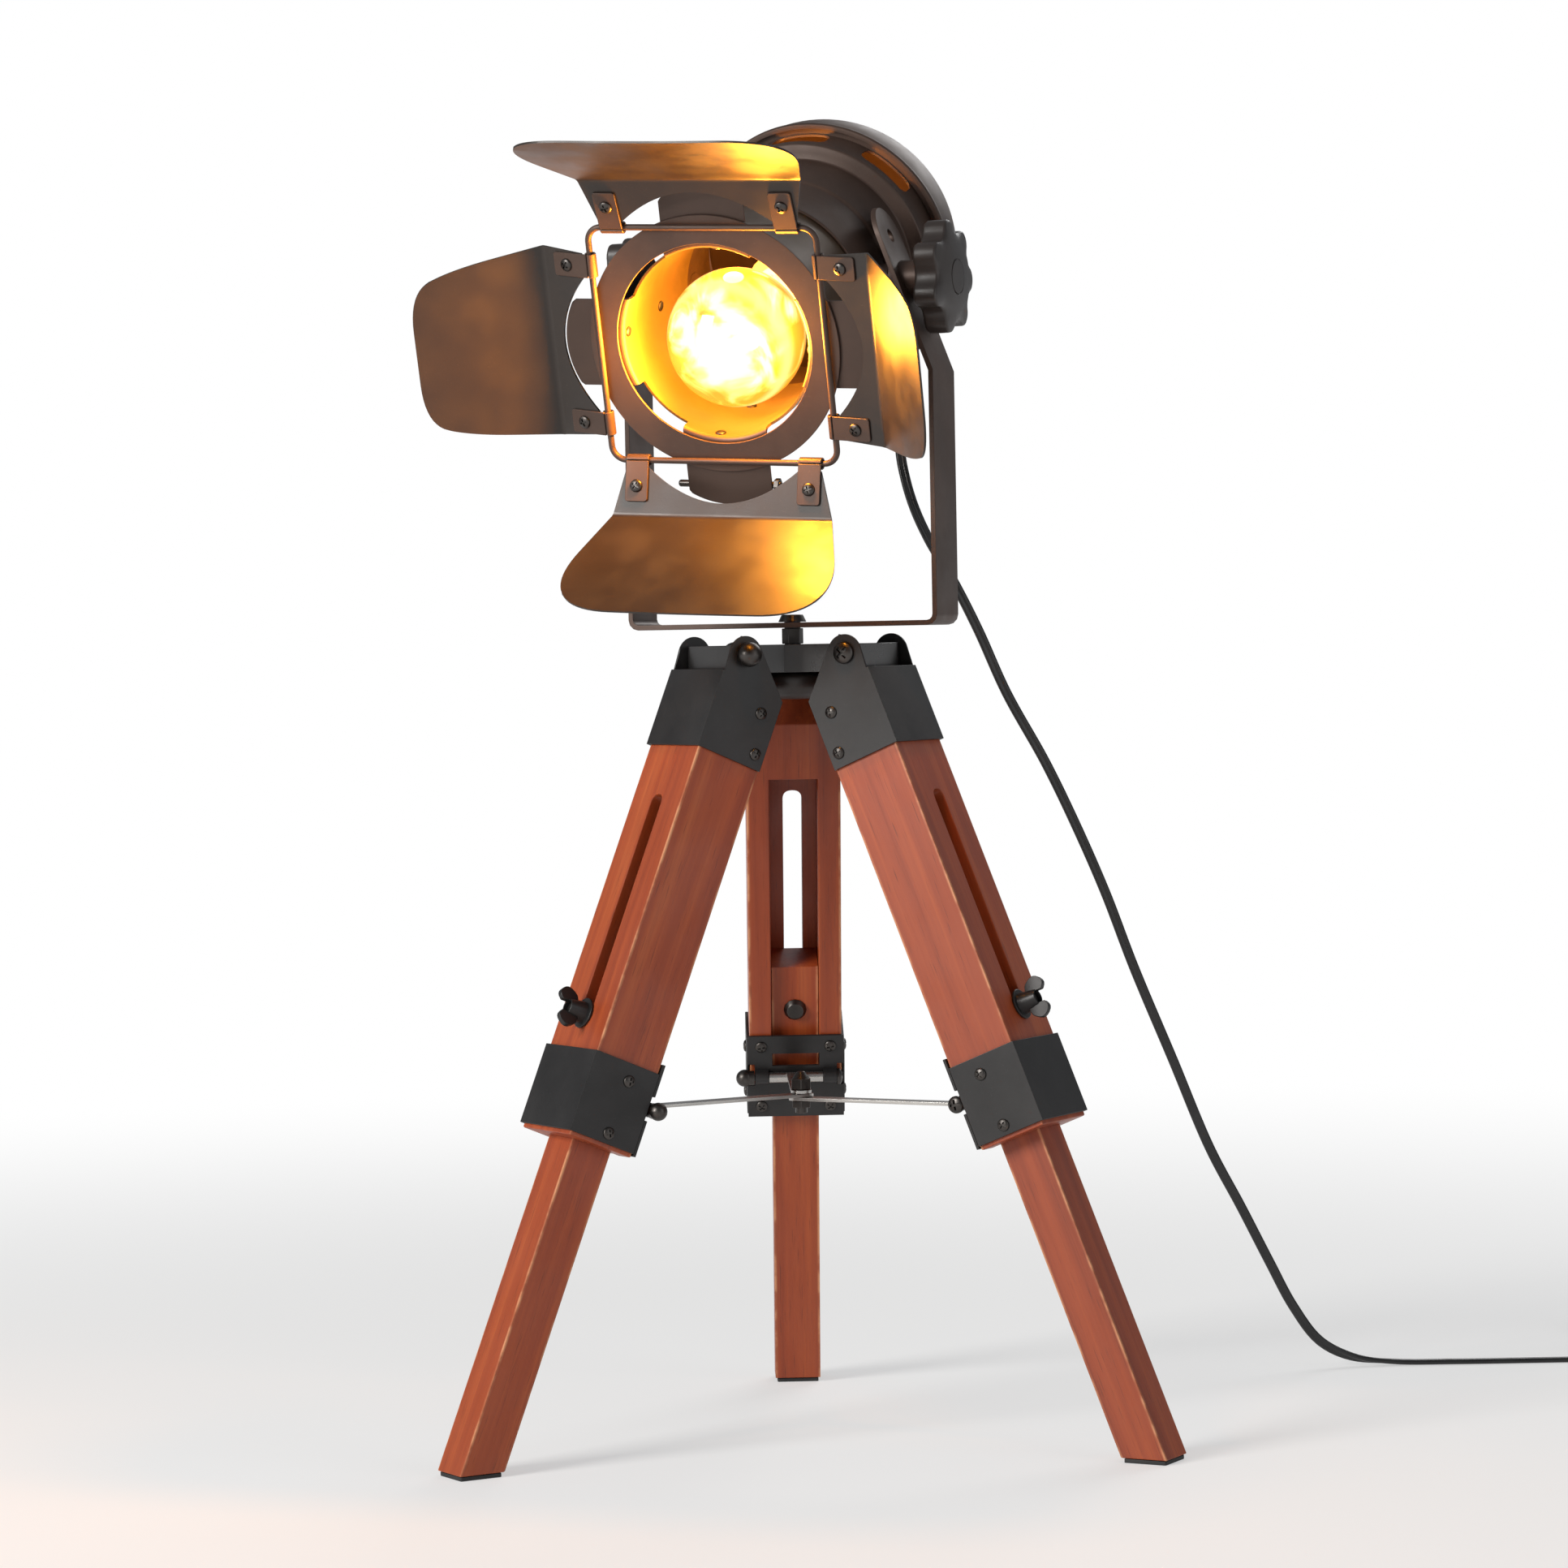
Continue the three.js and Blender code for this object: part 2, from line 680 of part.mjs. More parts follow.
// The plate across the open side of the channel, with the two knuckles of the spreader hinge
function innerPlate() {
  const half = sideOffset - plateSideInset;
  const bottom = -innerPlateTop - innerPlateLength;
  const body = block(plateFace, plateFace + innerPlateThickness, -half, half, bottom, -innerPlateTop);
  const window = block(plateFace - cutOver, plateFace + cutOver, -plateWindowWidth / 2, plateWindowWidth / 2,
    -plateWindowTop - plateWindowLength, -plateWindowTop);
  const knuckles = [knuckleStart, -knuckleStart - knuckleLength].flatMap((start) => [
    rod('y', start, start + knuckleLength, pinOffset, -spreaderStation, knuckleRadius),
    block(pinOffset, plateFace + innerPlateThickness / 2, start, start + knuckleLength,
      -spreaderStation - knuckleRadius, -spreaderStation + knuckleRadius),
  ]);
  const notches = [1, -1].map((side) => block(plateFace - cutOver, plateFace + cutOver,
    ...ordered(side * (knuckleStart + knuckleLength), side * (half + cutOver)),
    -spreaderStation - pinNotch, -spreaderStation + pinNotch));
  const bore = rod('y', -outerWidth, outerWidth, pinOffset, -spreaderStation, spreaderPinRadius + fitGap);
  return cut(joined(body, ...knuckles), window, ...notches, bore);
}

function domeNut(radius, length, from, axisU, axisV) {
  const skirt = rod('y', from, from + length / 2, axisU, axisV, radius * 0.86);
  const ball = new THREE.SphereGeometry(radius, smallSides, smallSides / 2);
  ball.translate(axisU, from + length - radius * 0.7, axisV);
  const seat = block(axisU - radius * 2, axisU + radius * 2, from - radius * 2, from,
    axisV - radius * 2, axisV + radius * 2);
  return cut(joined(skirt, toSolid(ball)), seat);
}

function panHead(radius, height, from, axisU, axisV) {
  return joined(rod('y', from - height * 0.6, from, axisU, axisV, radius),
    rod('y', from - height, from - height * 0.6, axisU, axisV, radius * 0.6, smallSides, radius));
}

function crossPin(shaftRadius, nut, nutLength, head, headHeight, face, axisU, axisV) {
  const seat = face + fitGap;
  const shaft = rod('y', -seat - headHeight / 2, seat + nutLength / 2, axisU, axisV, shaftRadius);
  return joined(shaft, domeNut(nut, nutLength, seat, axisU, axisV),
    panHead(head, headHeight, -seat, axisU, axisV));
}

function pivotScrew() {
  return crossPin(pivotPinRadius, ballNutRadius, ballNutLength, screwHeadRadius, screwHeadHeight,
    sideOffset, 0, 0);
}

function spreaderPin() {
  return crossPin(spreaderPinRadius, pinBallRadius, pinBallLength, pinHeadRadius, pinHeadHeight,
    knuckleStart + knuckleLength, pinOffset, -spreaderStation);
}

function legBolt() {
  const headFace = innerLegBack - fitGap;
  const end = pivotInset + fitGap + washerThickness + wingHubHeight * 0.8;
  const shaft = rod('x', headFace - boltHeadHeight / 2, end, 0, -boltStation, boltRadius);
  const head = rod('x', headFace - boltHeadHeight, headFace, 0, -boltStation, boltHeadRadius * 0.7, smallSides,
    boltHeadRadius);
  return joined(shaft, head);
}

function wingNut(turn) {
  const base = pivotInset + fitGap;
  const hubEnd = base + washerThickness + wingHubHeight;
  const washer = rod('x', base, base + washerThickness, 0, -boltStation, washerRadius, roundSides);
  const barrel = rod('x', base, hubEnd, 0, -boltStation, wingHubRadius * 1.15, smallSides, wingHubRadius * 0.8);
  const low = base + wingRise;
  const wings = [1, -1].map((side) => slab(outline([
    [low, -boltStation], [low + wingRise / 2, -boltStation + (side * wingSpan) / 2 - side * wingRise, wingRise / 2],
    [low + wingHeight * 0.7, -boltStation + (side * wingSpan) / 2, wingRise],
    [low + wingHeight * 1.2, -boltStation + (side * wingSpan) / 2 - side * wingRise * 1.5, wingRise],
    [low + wingHeight * 0.7, -boltStation],
  ]), 'y', -wingThickness / 2, wingThickness / 2, 4));
  const bore = rod('x', base - cutOver, hubEnd + cutOver, 0, -boltStation, boltRadius + fitGap);
  const toAxis = new THREE.Matrix4().makeTranslation(0, 0, boltStation);
  const turnedBack = toAxis.clone().invert().multiply(turnAbout('X', turn)).multiply(toAxis);
  return shifted(cut(joined(washer, barrel, ...wings), bore), turnedBack);
}

const pinRadius = pivotRadius + spreaderStation * Math.sin(lean) + pinOffset * Math.cos(lean);
const pinHeight = pivotHeight - spreaderStation * Math.cos(lean) + pinOffset * Math.sin(lean);
const armStep = armThickness + armStackGap;

// A flat strip from the hinge barrel to just past the middle, where the three lie on each other
function spreaderArm(level) {
  const barrel = rod('y', -knuckleStart + fitGap, knuckleStart - fitGap, pinRadius, pinHeight, armBarrelRadius);
  const z0 = pinHeight + level * armStep - armThickness / 2;
  const strip = slab(outline([
    [-armEnd, -armWidth / 2, armWidth / 2], [pinRadius, -armWidth / 2],
    [pinRadius, armWidth / 2], [-armEnd, armWidth / 2, armWidth / 2],
  ]), 'z', z0, z0 + armThickness, 4);
  const pinBore = rod('y', -outerWidth, outerWidth, pinRadius, pinHeight, spreaderPinRadius + runGap);
  const hole = rod('z', z0 - cutOver, z0 + cutOver, 0, 0, armHoleRadius);
  return cut(joined(strip, barrel), pinBore, hole);
}

for (let i = 0; i < legCount; i += 1) {
  const ray = new THREE.Group();
  ray.rotation.z = THREE.MathUtils.degToRad(legAzimuth(i));
  stand.add(ray);
  const leg = new THREE.Group();
  leg.rotation.y = -lean;
  leg.position.set(pivotRadius, 0, pivotHeight);
  ray.add(leg);
  const n = i + 1;
  piece(`top_bracket_${n}`, topBracket(), 'blackSheet', leg);
  piece(`pivot_screw_${n}`, pivotScrew(), 'darkScrew', leg);
  piece(`outer_leg_${n}`, outerLeg(), 'wood', leg);
  piece(`lower_bracket_${n}`, lowerBracket(), 'blackSheet', leg);
  piece(`inner_plate_${n}`, innerPlate(), 'blackSheet', leg);
  piece(`inner_leg_${n}`, innerLeg(), 'wood', leg);
  piece(`leg_bolt_${n}`, legBolt(), 'darkScrew', leg);
  piece(`wing_nut_${n}`, wingNut(wingTurnDeg[i]), 'blackSheet', leg);
  piece(`spreader_pin_${n}`, spreaderPin(), 'darkScrew', leg);
  piece(`foot_pad_${n}`, footPad(), 'rubber', ray);
  piece(`spreader_arm_${n}`, spreaderArm(1 - i), 'brightSteel', ray);
}

function centreCapNut() {
  const base = pinHeight + armStep + armThickness / 2 + armStackGap;
  const hex = rod('z', base, base + capNutHeight * 0.6, 0, 0, capNutRadius, 6);
  const dome = rod('z', base + capNutHeight * 0.6, base + capNutHeight, 0, 0, capNutRadius * 0.8, smallSides,
    capNutRadius * 0.35);
  return joined(hex, dome);
}

function centreBolt() {
  const top = pinHeight - armStep - armThickness / 2 - armStackGap;
  return joined(rod('z', top - centreBoltHeight * 0.55, top, 0, 0, centreBoltHead, 6),
    rod('z', top - centreBoltHeight, top - centreBoltHeight * 0.5, 0, 0, centreBoltHead * 0.6));
}

piece('spreader_cap_nut', centreCapNut(), 'darkScrew', stand);
piece('spreader_bolt', centreBolt(), 'darkScrew', stand);

// Yoke: a flat strip bent to a U, whose arms lean in above a shoulder

const yokeGroup = new THREE.Group();
yokeGroup.rotation.z = -THREE.MathUtils.degToRad(yokeTurnDeg);
lamp.add(yokeGroup);

function armOffsetAt(height) {
  return yokeHalf - Math.max(0, height - yokeShoulder) * slant;
}

function ribbon(points, thickness) {
  const left = [];
  const right = [];
  points.forEach(([u, v], i) => {
    const before = new THREE.Vector2(...points[Math.max(i - 1, 0)]);
    const after = new THREE.Vector2(...points[Math.min(i + 1, points.length - 1)]);
    const here = new THREE.Vector2(u, v);
    const a = here.clone().sub(before).normalize();
    const b = after.sub(here).normalize();
    const along = a.clone().add(b).normalize();
    const reference = a.lengthSq() > 0 ? a : b;
    const mitre = thickness / 2 / Math.max(Math.abs(along.dot(reference)), 0.3);
    left.push([u - along.y * mitre, v + along.x * mitre]);
    right.push([u + along.y * mitre, v - along.x * mitre]);
  });
  return outline([...left, ...right.reverse()]);
}

function yokePath() {
  const base = yokeBottom + yokeThickness / 2;
  const r = yokeBend;
  const bends = [0, 30, 60, 90].map((deg) => THREE.MathUtils.degToRad(deg));
  const half = [];
  bends.forEach((t) => half.push([yokeHalf - r + r * Math.sin(t), base + r - r * Math.cos(t)]));
  half.push([armOffsetAt(yokeShoulder), yokeShoulder]);
  half.push([armOffsetAt(yokeTop), yokeTop]);
  const mirrored = half.map(([u, v]) => [-u, v]).reverse();
  return [...mirrored, ...half];
}

function yoke() {
  const strip = slab(ribbon(yokePath(), yokeThickness), 'y', -yokeWidth / 2, yokeWidth / 2);
  const half = yokeWidth / 2;
  const round = new THREE.Shape();
  round.moveTo(-half, yokeBottom - cutOver);
  round.lineTo(half, yokeBottom - cutOver);
  round.absarc(0, yokeTop - half, half, 0, Math.PI, false);
  round.closePath();
  const body = strip.intersect(slab(round, 'x', -yokeHalf - cutOver, yokeHalf + cutOver, 10));
  const bosses = [1, -1].map((side) => rod('x', ...ordered(side * yokeBossInner, side * yokeBossOuter), 0,
    tiltHeight, yokeBossRadius));
  const tiltBore = rod('x', -yokeHalf - cutOver, yokeHalf + cutOver, 0, tiltHeight, tiltBoltRadius + runGap);
  const spare = rod('x', -yokeHalf - cutOver, yokeHalf + cutOver, 0, tiltHeight + spareHoleRise, spareHoleRadius);
  const panBore = rod('z', yokeBottom - cutOver, yokeBottom + yokeThickness + cutOver, 0, 0,
    panBoltRadius + fitGap);
  return cut(joined(body, ...bosses), tiltBore, spare, panBore);
}

function ordered(a, b) {
  return a < b ? [a, b] : [b, a];
}

function panBolt() {
  const bottom = hubUnderside - fitGap - hubKnobBore + fitGap * 2;
  const top = yokeBottom + yokeThickness + fitGap;
  const shaft = rod('z', bottom, top, 0, 0, panBoltRadius);
  const post = rod('z', hubTop + fitGap, yokeBottom - fitGap, 0, 0, panPostAcross / 2, 6);
  const head = rod('z', top, top + panHeadHeight, 0, 0, panHeadRadius, smallSides, panHeadRadius * 0.75);
  return joined(shaft, post, head);
}

piece('yoke', yoke(), 'bronze', yokeGroup);
piece('pan_bolt', panBolt(), 'darkScrew', yokeGroup);

// Star knobs that clamp the head between the arms

function tiltKnob(side) {
  const face = yokeBossOuter + fitGap;
  const rear = face + knobCollar;
  const front = rear + knobThickness;
  const star = new THREE.Shape();
  const steps = knobLobes * 6;
  for (let i = 0; i < steps; i += 1) {
    const t = (i / steps) * Math.PI * 2;
    const r = knobRadius + knobLobeDepth * Math.cos(knobLobes * t);
    if (i === 0) star.moveTo(r * Math.cos(t), r * Math.sin(t));
    else star.lineTo(r * Math.cos(t), r * Math.sin(t));
  }
  star.closePath();
  const parts = [
    slab(star, 'x', rear, front, 1),
    rod('x', face, rear + knobCollar, 0, 0, knobCollarRadius),
    rod('x', front - knobCapHeight, front + knobCapHeight, 0, 0, knobCapRadius),
    rod('x', trunnionRoot - trunnionSink, rear + knobCollar, 0, 0, tiltBoltRadius),
  ];
  const knob = joined(...parts);
  return side > 0 ? knob : shifted(knob, new THREE.Matrix4().makeRotationZ(Math.PI));
}

const tiltLine = new THREE.Group();
tiltLine.position.z = tiltHeight;
yokeGroup.add(tiltLine);
piece('tilt_knob_right', tiltKnob(1), 'knobPlastic', tiltLine);
piece('tilt_knob_left', tiltKnob(-1), 'knobPlastic', tiltLine);

// Head. In its own frame the light looks along -y, x is across and z is up

const head = new THREE.Group();
head.rotation.x = THREE.MathUtils.degToRad(headPitchDeg);
tiltLine.add(head);

function shell(outer, wall) {
  const inner = outer.map(([r, y]) => [r - wall, y]).reverse();
  return turned([...outer, ...inner, outer[0]], headSides);
}

function housingProfile() {
  const points = [[tierFronts[0], -housingFront]];
  tierEnds.forEach((end, i) => {
    points.push([tierRadii[i], end]);
    if (i + 1 < tierEnds.length) points.push([tierFronts[i + 1], end + tierSlope]);
  });
  return points;
}

function housing() {
  const rear = bandEnd;
  const band = bandRadius;
  const body = shell(housingProfile(), headWall);
  const lip = capRadius - headWall - fitGap;
  const flange = turned([[band - headWall, rear - flangeThickness], [lip, rear - flangeThickness], [lip, rear],
    [band - headWall, rear], [band - headWall, rear - flangeThickness]], headSides);
  const root = trunnionRoot - trunnionSink;
  const sides = [1, -1].map((side) => rod('x', ...ordered(side * (yokeBossInner - fitGap), side * root), 0, 0,
    trunnionRadius));
  const bores = [1, -1].map((side) => rod('x', ...ordered(side * (yokeBossInner + cutOver),
    side * (root - cutOver)), 0, 0, tiltBoltRadius + runGap));
  const vents = [];
  const ventRear = rear - flangeThickness - ventSetback;
  for (let i = 0; i < ventCount; i += 1) {
    const start = (i / ventCount) * turnDeg - ventSpanDeg / 2;
    const wedge = new THREE.Shape();
    wedge.moveTo((band - headWall - cutOver) * cosDeg(start), (band - headWall - cutOver) * sinDeg(start));
    wedge.absarc(0, 0, band + cutOver, degToRad(start), degToRad(start + ventSpanDeg), false);
    wedge.absarc(0, 0, band - headWall - cutOver, degToRad(start + ventSpanDeg), degToRad(start), true);
    vents.push(slab(wedge, 'y', ventRear - ventWidth, ventRear, 4));
  }
  return cut(joined(body, flange, ...sides), ...bores, ...vents);
}

function degToRad(degrees) {
  return THREE.MathUtils.degToRad(degrees);
}

function cosDeg(degrees) {
  return Math.cos(degToRad(degrees));
}

function sinDeg(degrees) {
  return Math.sin(degToRad(degrees));
}

function domePoints(radius, depth, start, steps) {
  const points = [];
  for (let i = 0; i <= steps; i += 1) {
    const t = (i / steps) * quarterDeg;
    points.push([radius * cosDeg(t), start + depth * sinDeg(t)]);
  }
  return points;
}

function bootDirection() {
  return new THREE.Vector3(0, cosDeg(bootAngleDeg), -sinDeg(bootAngleDeg));
}

function along(direction, from, to, fromRadius, toRadius, sides = smallSides) {
  const geometry = rodGeometry('y', from, to, 0, 0, fromRadius, sides, toRadius);
  const turn = new THREE.Quaternion().setFromUnitVectors(new THREE.Vector3(0, 1, 0), direction);
  geometry.applyQuaternion(turn);
  return toSolid(geometry);
}

function backCap() {
  const outer = [[capRadius, capFront], ...domePoints(capRadius, capDomeDepth, capDomeStart, capDomeSteps)];
  const inside = domePoints(capRadius - headWall, capDomeDepth - headWall, capDomeStart, capDomeSteps);
  const inner = [...inside.reverse(), [capRadius - headWall, capFront]];
  const body = turned([...outer.slice(0, -1), [0, capDomeStart + capDomeDepth],
    [0, capDomeStart + capDomeDepth - headWall], ...inner.slice(1), outer[0]], headSides);
  const bead = turned([[capRadius - headWall / 2, capFront], [capRadius + capBeadRadius, capFront],
    [capRadius + capBeadRadius, capFront + capBeadRadius * 2], [capRadius - headWall / 2, capFront
      + capBeadRadius * 3], [capRadius - headWall / 2, capFront]], headSides);
  const hole = along(bootDirection(), bootRoot - cutOver, bootTip, bootRootRadius + fitGap,
    bootRootRadius + fitGap);
  return cut(joined(body, bead), hole);
}

piece('housing', housing(), 'bronze', head);
piece('back_cap', backCap(), 'bronze', head);

// Strain relief through the cap, its inner collar held behind the dome
function strainRelief() {
  const direction = bootDirection();
  const collar = along(direction, bootRoot - bootFlangeThickness, bootRoot, bootFlangeRadius, bootFlangeRadius);
  const cone = along(direction, bootRoot - bootFlangeThickness, bootTip, bootRootRadius, bootTipRadius);
  return joined(cone, collar.intersect(cone));
}

piece('strain_relief', strainRelief(), 'rubber', head);

// Front barrel: a tube that ends in four straps, bent outward as ears behind the ring
const front = new THREE.Group();
front.rotation.y = degToRad(frontRollDeg);
head.add(front);

function frontBarrel() {
  const inner = barrelRadius - headWall;
  const tube = turned([[barrelRadius, -strapEnd], [barrelRadius, -barrelRear], [inner, -barrelRear],
    [inner, -strapEnd], [barrelRadius, -strapEnd]], headSides);
  const half = strapWidth / 2;
  const beyond = barrelRadius + cutOver;
  const gaps = [[1, 1], [1, -1], [-1, 1], [-1, -1]].map(([sx, sz]) => block(...ordered(sx * half, sx * beyond),
    -strapEnd - cutOver, -barrelFront, ...ordered(sz * half, sz * beyond)));
  const earArc = (half * half + earRound * earRound) / (2 * earRound);
  const earStart = Math.atan2(earArc - earRound, half);
  const ears = earReaches.map((reach, i) => {
    const ear = new THREE.Shape();
    ear.moveTo(-half, inner);
    ear.lineTo(half, inner);
    ear.absarc(0, reach - earArc, earArc, earStart, Math.PI - earStart, false);
    ear.closePath();
    const plate = slab(ear, 'y', -strapEnd, -strapEnd + headWall, 8);
    return shifted(plate, turnAbout('Y', i * quarterDeg));
  });
  const core = rod('y', -strapEnd - cutOver, -barrelFront, 0, 0, inner, headSides);
  return joined(cut(tube, ...gaps), ...ears.map((ear) => cut(ear, core)));
}

function frontRing() {
  const y0 = -ringFront;
  const y1 = -strapEnd - fitGap;
  return turned([[ringOuter, y0], [ringOuter, y1], [ringInner, y1], [ringInner, y0], [ringOuter, y0]],
    roundSides * 2);
}

function wireFrame() {
  const points = [];
  const straight = wireHalf - wireBend;
  for (let i = 0; i < 4; i += 1) {
    for (let k = 0; k <= wireBendSteps; k += 1) {
      const t = i * quarterDeg + (k / wireBendSteps) * quarterDeg;
      const corner = i * quarterDeg + quarterDeg / 2;
      points.push(new THREE.Vector3(
        straight * Math.sign(cosDeg(corner)) + wireBend * cosDeg(t),
        -wirePlane,
        straight * Math.sign(sinDeg(corner)) + wireBend * sinDeg(t),
      ));
    }
  }
  return swept(points, wireRadius, wireSides, new THREE.Vector3(0, 1, 0), true);
}

piece('front_barrel', frontBarrel(), 'bronze', front);
piece('front_ring', frontRing(), 'bronze', front);
piece('wire_frame', wireFrame(), 'bronze', front);

// Barn doors. In a door's frame x is along the wire, z away from it and -y forward
function barnDoor(clip, bend, flare) {
  const hookInner = wireRadius + fitGap;
  const hookOuter = hookInner + hookWall;
  const tabFront = -hookOuter;
  const flangeFront = tabFront + hookWall;
  const flangeBack = flangeFront + leafSheet;
  const half = clipWidth / 2;
  const shape = new THREE.Shape();
  const arcEdge = clip - half;
  shape.moveTo(-clip - half, leafEdge);
  shape.lineTo(-bend, flangeLength);
  shape.lineTo(bend, flangeLength);
  shape.lineTo(clip + half, leafEdge);
  shape.lineTo(arcEdge, leafEdge);
  shape.quadraticCurveTo(0, leafEdge + arcDepth * 2, -arcEdge, leafEdge);
  shape.closePath();
  const flange = slab(shape, 'y', flangeFront, flangeBack, 8);
  const tabs = [-clip, clip].flatMap((x) => [
    rod('x', x - half, x + half, 0, 0, hookOuter, roundSides / 2),
    block(x - half, x + half, tabFront, flangeFront, 0, clipLength),
  ]);
  const bores = [-clip, clip].map((x) => rod('x', x - half - cutOver, x + half + cutOver, 0, 0, hookInner,
    roundSides / 2));
  const middle = (flangeFront + flangeBack) / 2;
  const corner = rod('x', -bend, bend, middle, flangeLength, leafSheet / 2, wireSides);
  const mid = flapLength * 0.68;
  const flap = slab(outline([
    [-bend, 0], [bend, 0], [flare, mid, flapLength * 0.3],
    [flare * 0.8, flapLength, flapLength * 0.3], [-flare * 0.8, flapLength, flapLength * 0.3],
    [-flare, mid, flapLength * 0.3],
  ]), 'y', -leafSheet / 2, leafSheet / 2, 5);
  const swing = turnAbout('X', flapBendDeg).setPosition(0, middle, flangeLength);
  return cut(joined(flange, shifted(flap, swing), corner, ...tabs), ...bores);
}

function hangDoor(name, rollDeg, openDeg, dims) {
  const side = new THREE.Group();
  side.rotation.y = degToRad(rollDeg);
  front.add(side);
  const mesh = piece(name, barnDoor(...dims), 'bronze', side);
  mesh.position.set(0, -wirePlane, wireHalf);
  mesh.rotation.x = degToRad(quarterDeg - openDeg);
}

const wideDoor = [wideClip, wideBend, wideFlare];
const narrowDoor = [narrowClip, narrowBend, narrowFlare];
hangDoor('barn_door_top', 0, topLeafDeg, wideDoor);
hangDoor('barn_door_right', quarterDeg, rightLeafDeg, narrowDoor);
hangDoor('barn_door_bottom', halfTurnDeg, bottomLeafDeg, wideDoor);
hangDoor('barn_door_left', -quarterDeg, leftLeafDeg, narrowDoor);

// Bulb in its socket, on a strip across the back of the housing
const lightLine = new THREE.Group();
lightLine.rotation.set(degToRad(bulbDroopDeg), 0, -degToRad(bulbSwayDeg));
lightLine.position.y = bracketBack - socketStandoff;
head.add(lightLine);

// Glass envelope, hollow and open through the screw base where its leads pass
function bulb() {
  const middle = bulbReach - bulbRadius;
  const baseEnd = bulbBaseStart + bulbBaseLength;
  const startDeg = halfTurnDeg - THREE.MathUtils.radToDeg(Math.asin(bulbNeckFlare / bulbRadius));
  const globe = (radius) => {
    const points = [];
    for (let i = 0; i <= bulbSteps; i += 1) {
      const t = startDeg * (1 - i / bulbSteps);
      points.push([i === bulbSteps ? 0 : radius * sinDeg(t), middle + radius * cosDeg(t)]);
    }
    return points;
  };
  const flare = (bulbNeckRadius + bulbNeckFlare) / 2;
  const outer = [[bulbBore, bulbBaseStart], [bulbBaseRadius, bulbBaseStart + bulbBaseTaper],
    [bulbBaseRadius, baseEnd], [bulbNeckRadius, baseEnd + fitGap], [flare, middle - bulbRadius],
    ...globe(bulbRadius)];
  const inner = [...globe(bulbRadius - glassWall).reverse(), [flare - glassWall, middle - bulbRadius],
    [bulbNeckRadius - glassWall, baseEnd + glassWall], [bulbBore, baseEnd], [bulbBore, bulbBaseStart]];
  return turned([...outer, ...inner].map(([r, d]) => [r, -d]), bulbSides);
}

function socket() {
  const bore = bulbBaseRadius + fitGap;
  const rear = fitGap + socketWall / 2;
  return turned([[0, 0], [socketStem, 0], [socketStem, rear], [socketRadius * 0.9, rear + socketWall / 2],
    [socketRadius, rear + socketWall], [socketRadius, socketLength], [bore, socketLength],
    [bore, bulbBaseStart - fitGap * 2], [0, bulbBaseStart - fitGap * 2]].map(([r, d]) => [r, -d]));
}

function socketBracket() {
  const reach = bandRadius - headWall - fitGap * 2;
  const length = Math.sqrt(reach * reach - (bracketWidth * bracketWidth) / 4);
  const strip = outline([[-length, -bracketWidth / 2], [length, -bracketWidth / 2], [length, bracketWidth / 2],
    [-length, bracketWidth / 2]]);
  const flat = slab(strip, 'y', bracketBack, bracketBack + bracketThickness);
  return shifted(flat, turnAbout('Y', turnDeg / ventCount / 2));
}

piece('bulb', bulb(), 'glass', lightLine);
piece('socket', socket(), 'porcelain', lightLine);
piece('socket_bracket', socketBracket(), 'brightSteel', head);

// Mains cord: a hanging run, a stored coil, an in-line switch, a short tail and the plug

const cordParts = new THREE.Group();
lamp.add(cordParts);
const cordRadius = cordDiameter / 2;

function ringSection(radius, sides) {
  const shape = new THREE.Shape();
  for (let i = 0; i < sides; i += 1) {
    const t = ((i + 0.5) / sides) * Math.PI * 2;
    if (i === 0) shape.moveTo(radius * Math.cos(t), radius * Math.sin(t));
    else shape.lineTo(radius * Math.cos(t), radius * Math.sin(t));
  }
  shape.closePath();
  return shape;
}

function tube(points, steps) {
  const curve = new THREE.CatmullRomCurve3(points, false, 'centripetal');
  return toSolid(new THREE.ExtrudeGeometry(ringSection(cordRadius, cordSides), { steps, extrudePath: curve }));
}

function bootTipPoint(extra) {
  const point = bootDirection().multiplyScalar(bootTip + extra);
  point.applyAxisAngle(new THREE.Vector3(1, 0, 0), degToRad(headPitchDeg));
  point.z += tiltHeight;
  return point.applyAxisAngle(new THREE.Vector3(0, 0, 1), -degToRad(yokeTurnDeg));
}

const coilOuterRadius = coilInnerRadius + coilPitch * coilTurnsPerLayer;
const coilCentreY = cordFloorY + coilOuterRadius;
const coilSquareEnd = cordDiameter;

function freeCord() {
  const points = [bootTipPoint(fitGap), ...cordRoute.map((p) => new THREE.Vector3(...p))];
  points.push(new THREE.Vector3(coilCentreX - coilSquareEnd - fitGap, cordFloorY, cordRadius));
  return tube(points, cordSteps);
}

// Two layers of turns: in towards the middle below, a climb in half a turn, then out again above
function coilPoints() {
  const points = [];
  const turns = coilTurnsPerLayer * 2 + 0.25;
  const total = Math.round(turns * coilSteps);
  const rise = coilPitch;
  points.push(new THREE.Vector3(coilCentreX - coilSquareEnd, cordFloorY, cordRadius));
  for (let i = 0; i <= total; i += 1) {
    const turn = i / coilSteps;
    const angle = -Math.PI / 2 + turn * Math.PI * 2;
    const fromReversal = Math.abs(turn - coilTurnsPerLayer);
    const radius = coilInnerRadius + coilPitch * fromReversal;
    const climb = THREE.MathUtils.clamp((turn - coilTurnsPerLayer + 0.25) * 2, 0, 1);
    points.push(new THREE.Vector3(coilCentreX + radius * Math.cos(angle), coilCentreY + radius * Math.sin(angle),
      cordRadius + rise * climb));
  }
  const last = points[points.length - 1].clone();
  last.y += coilLead;
  points.push(last);
  return points;
}

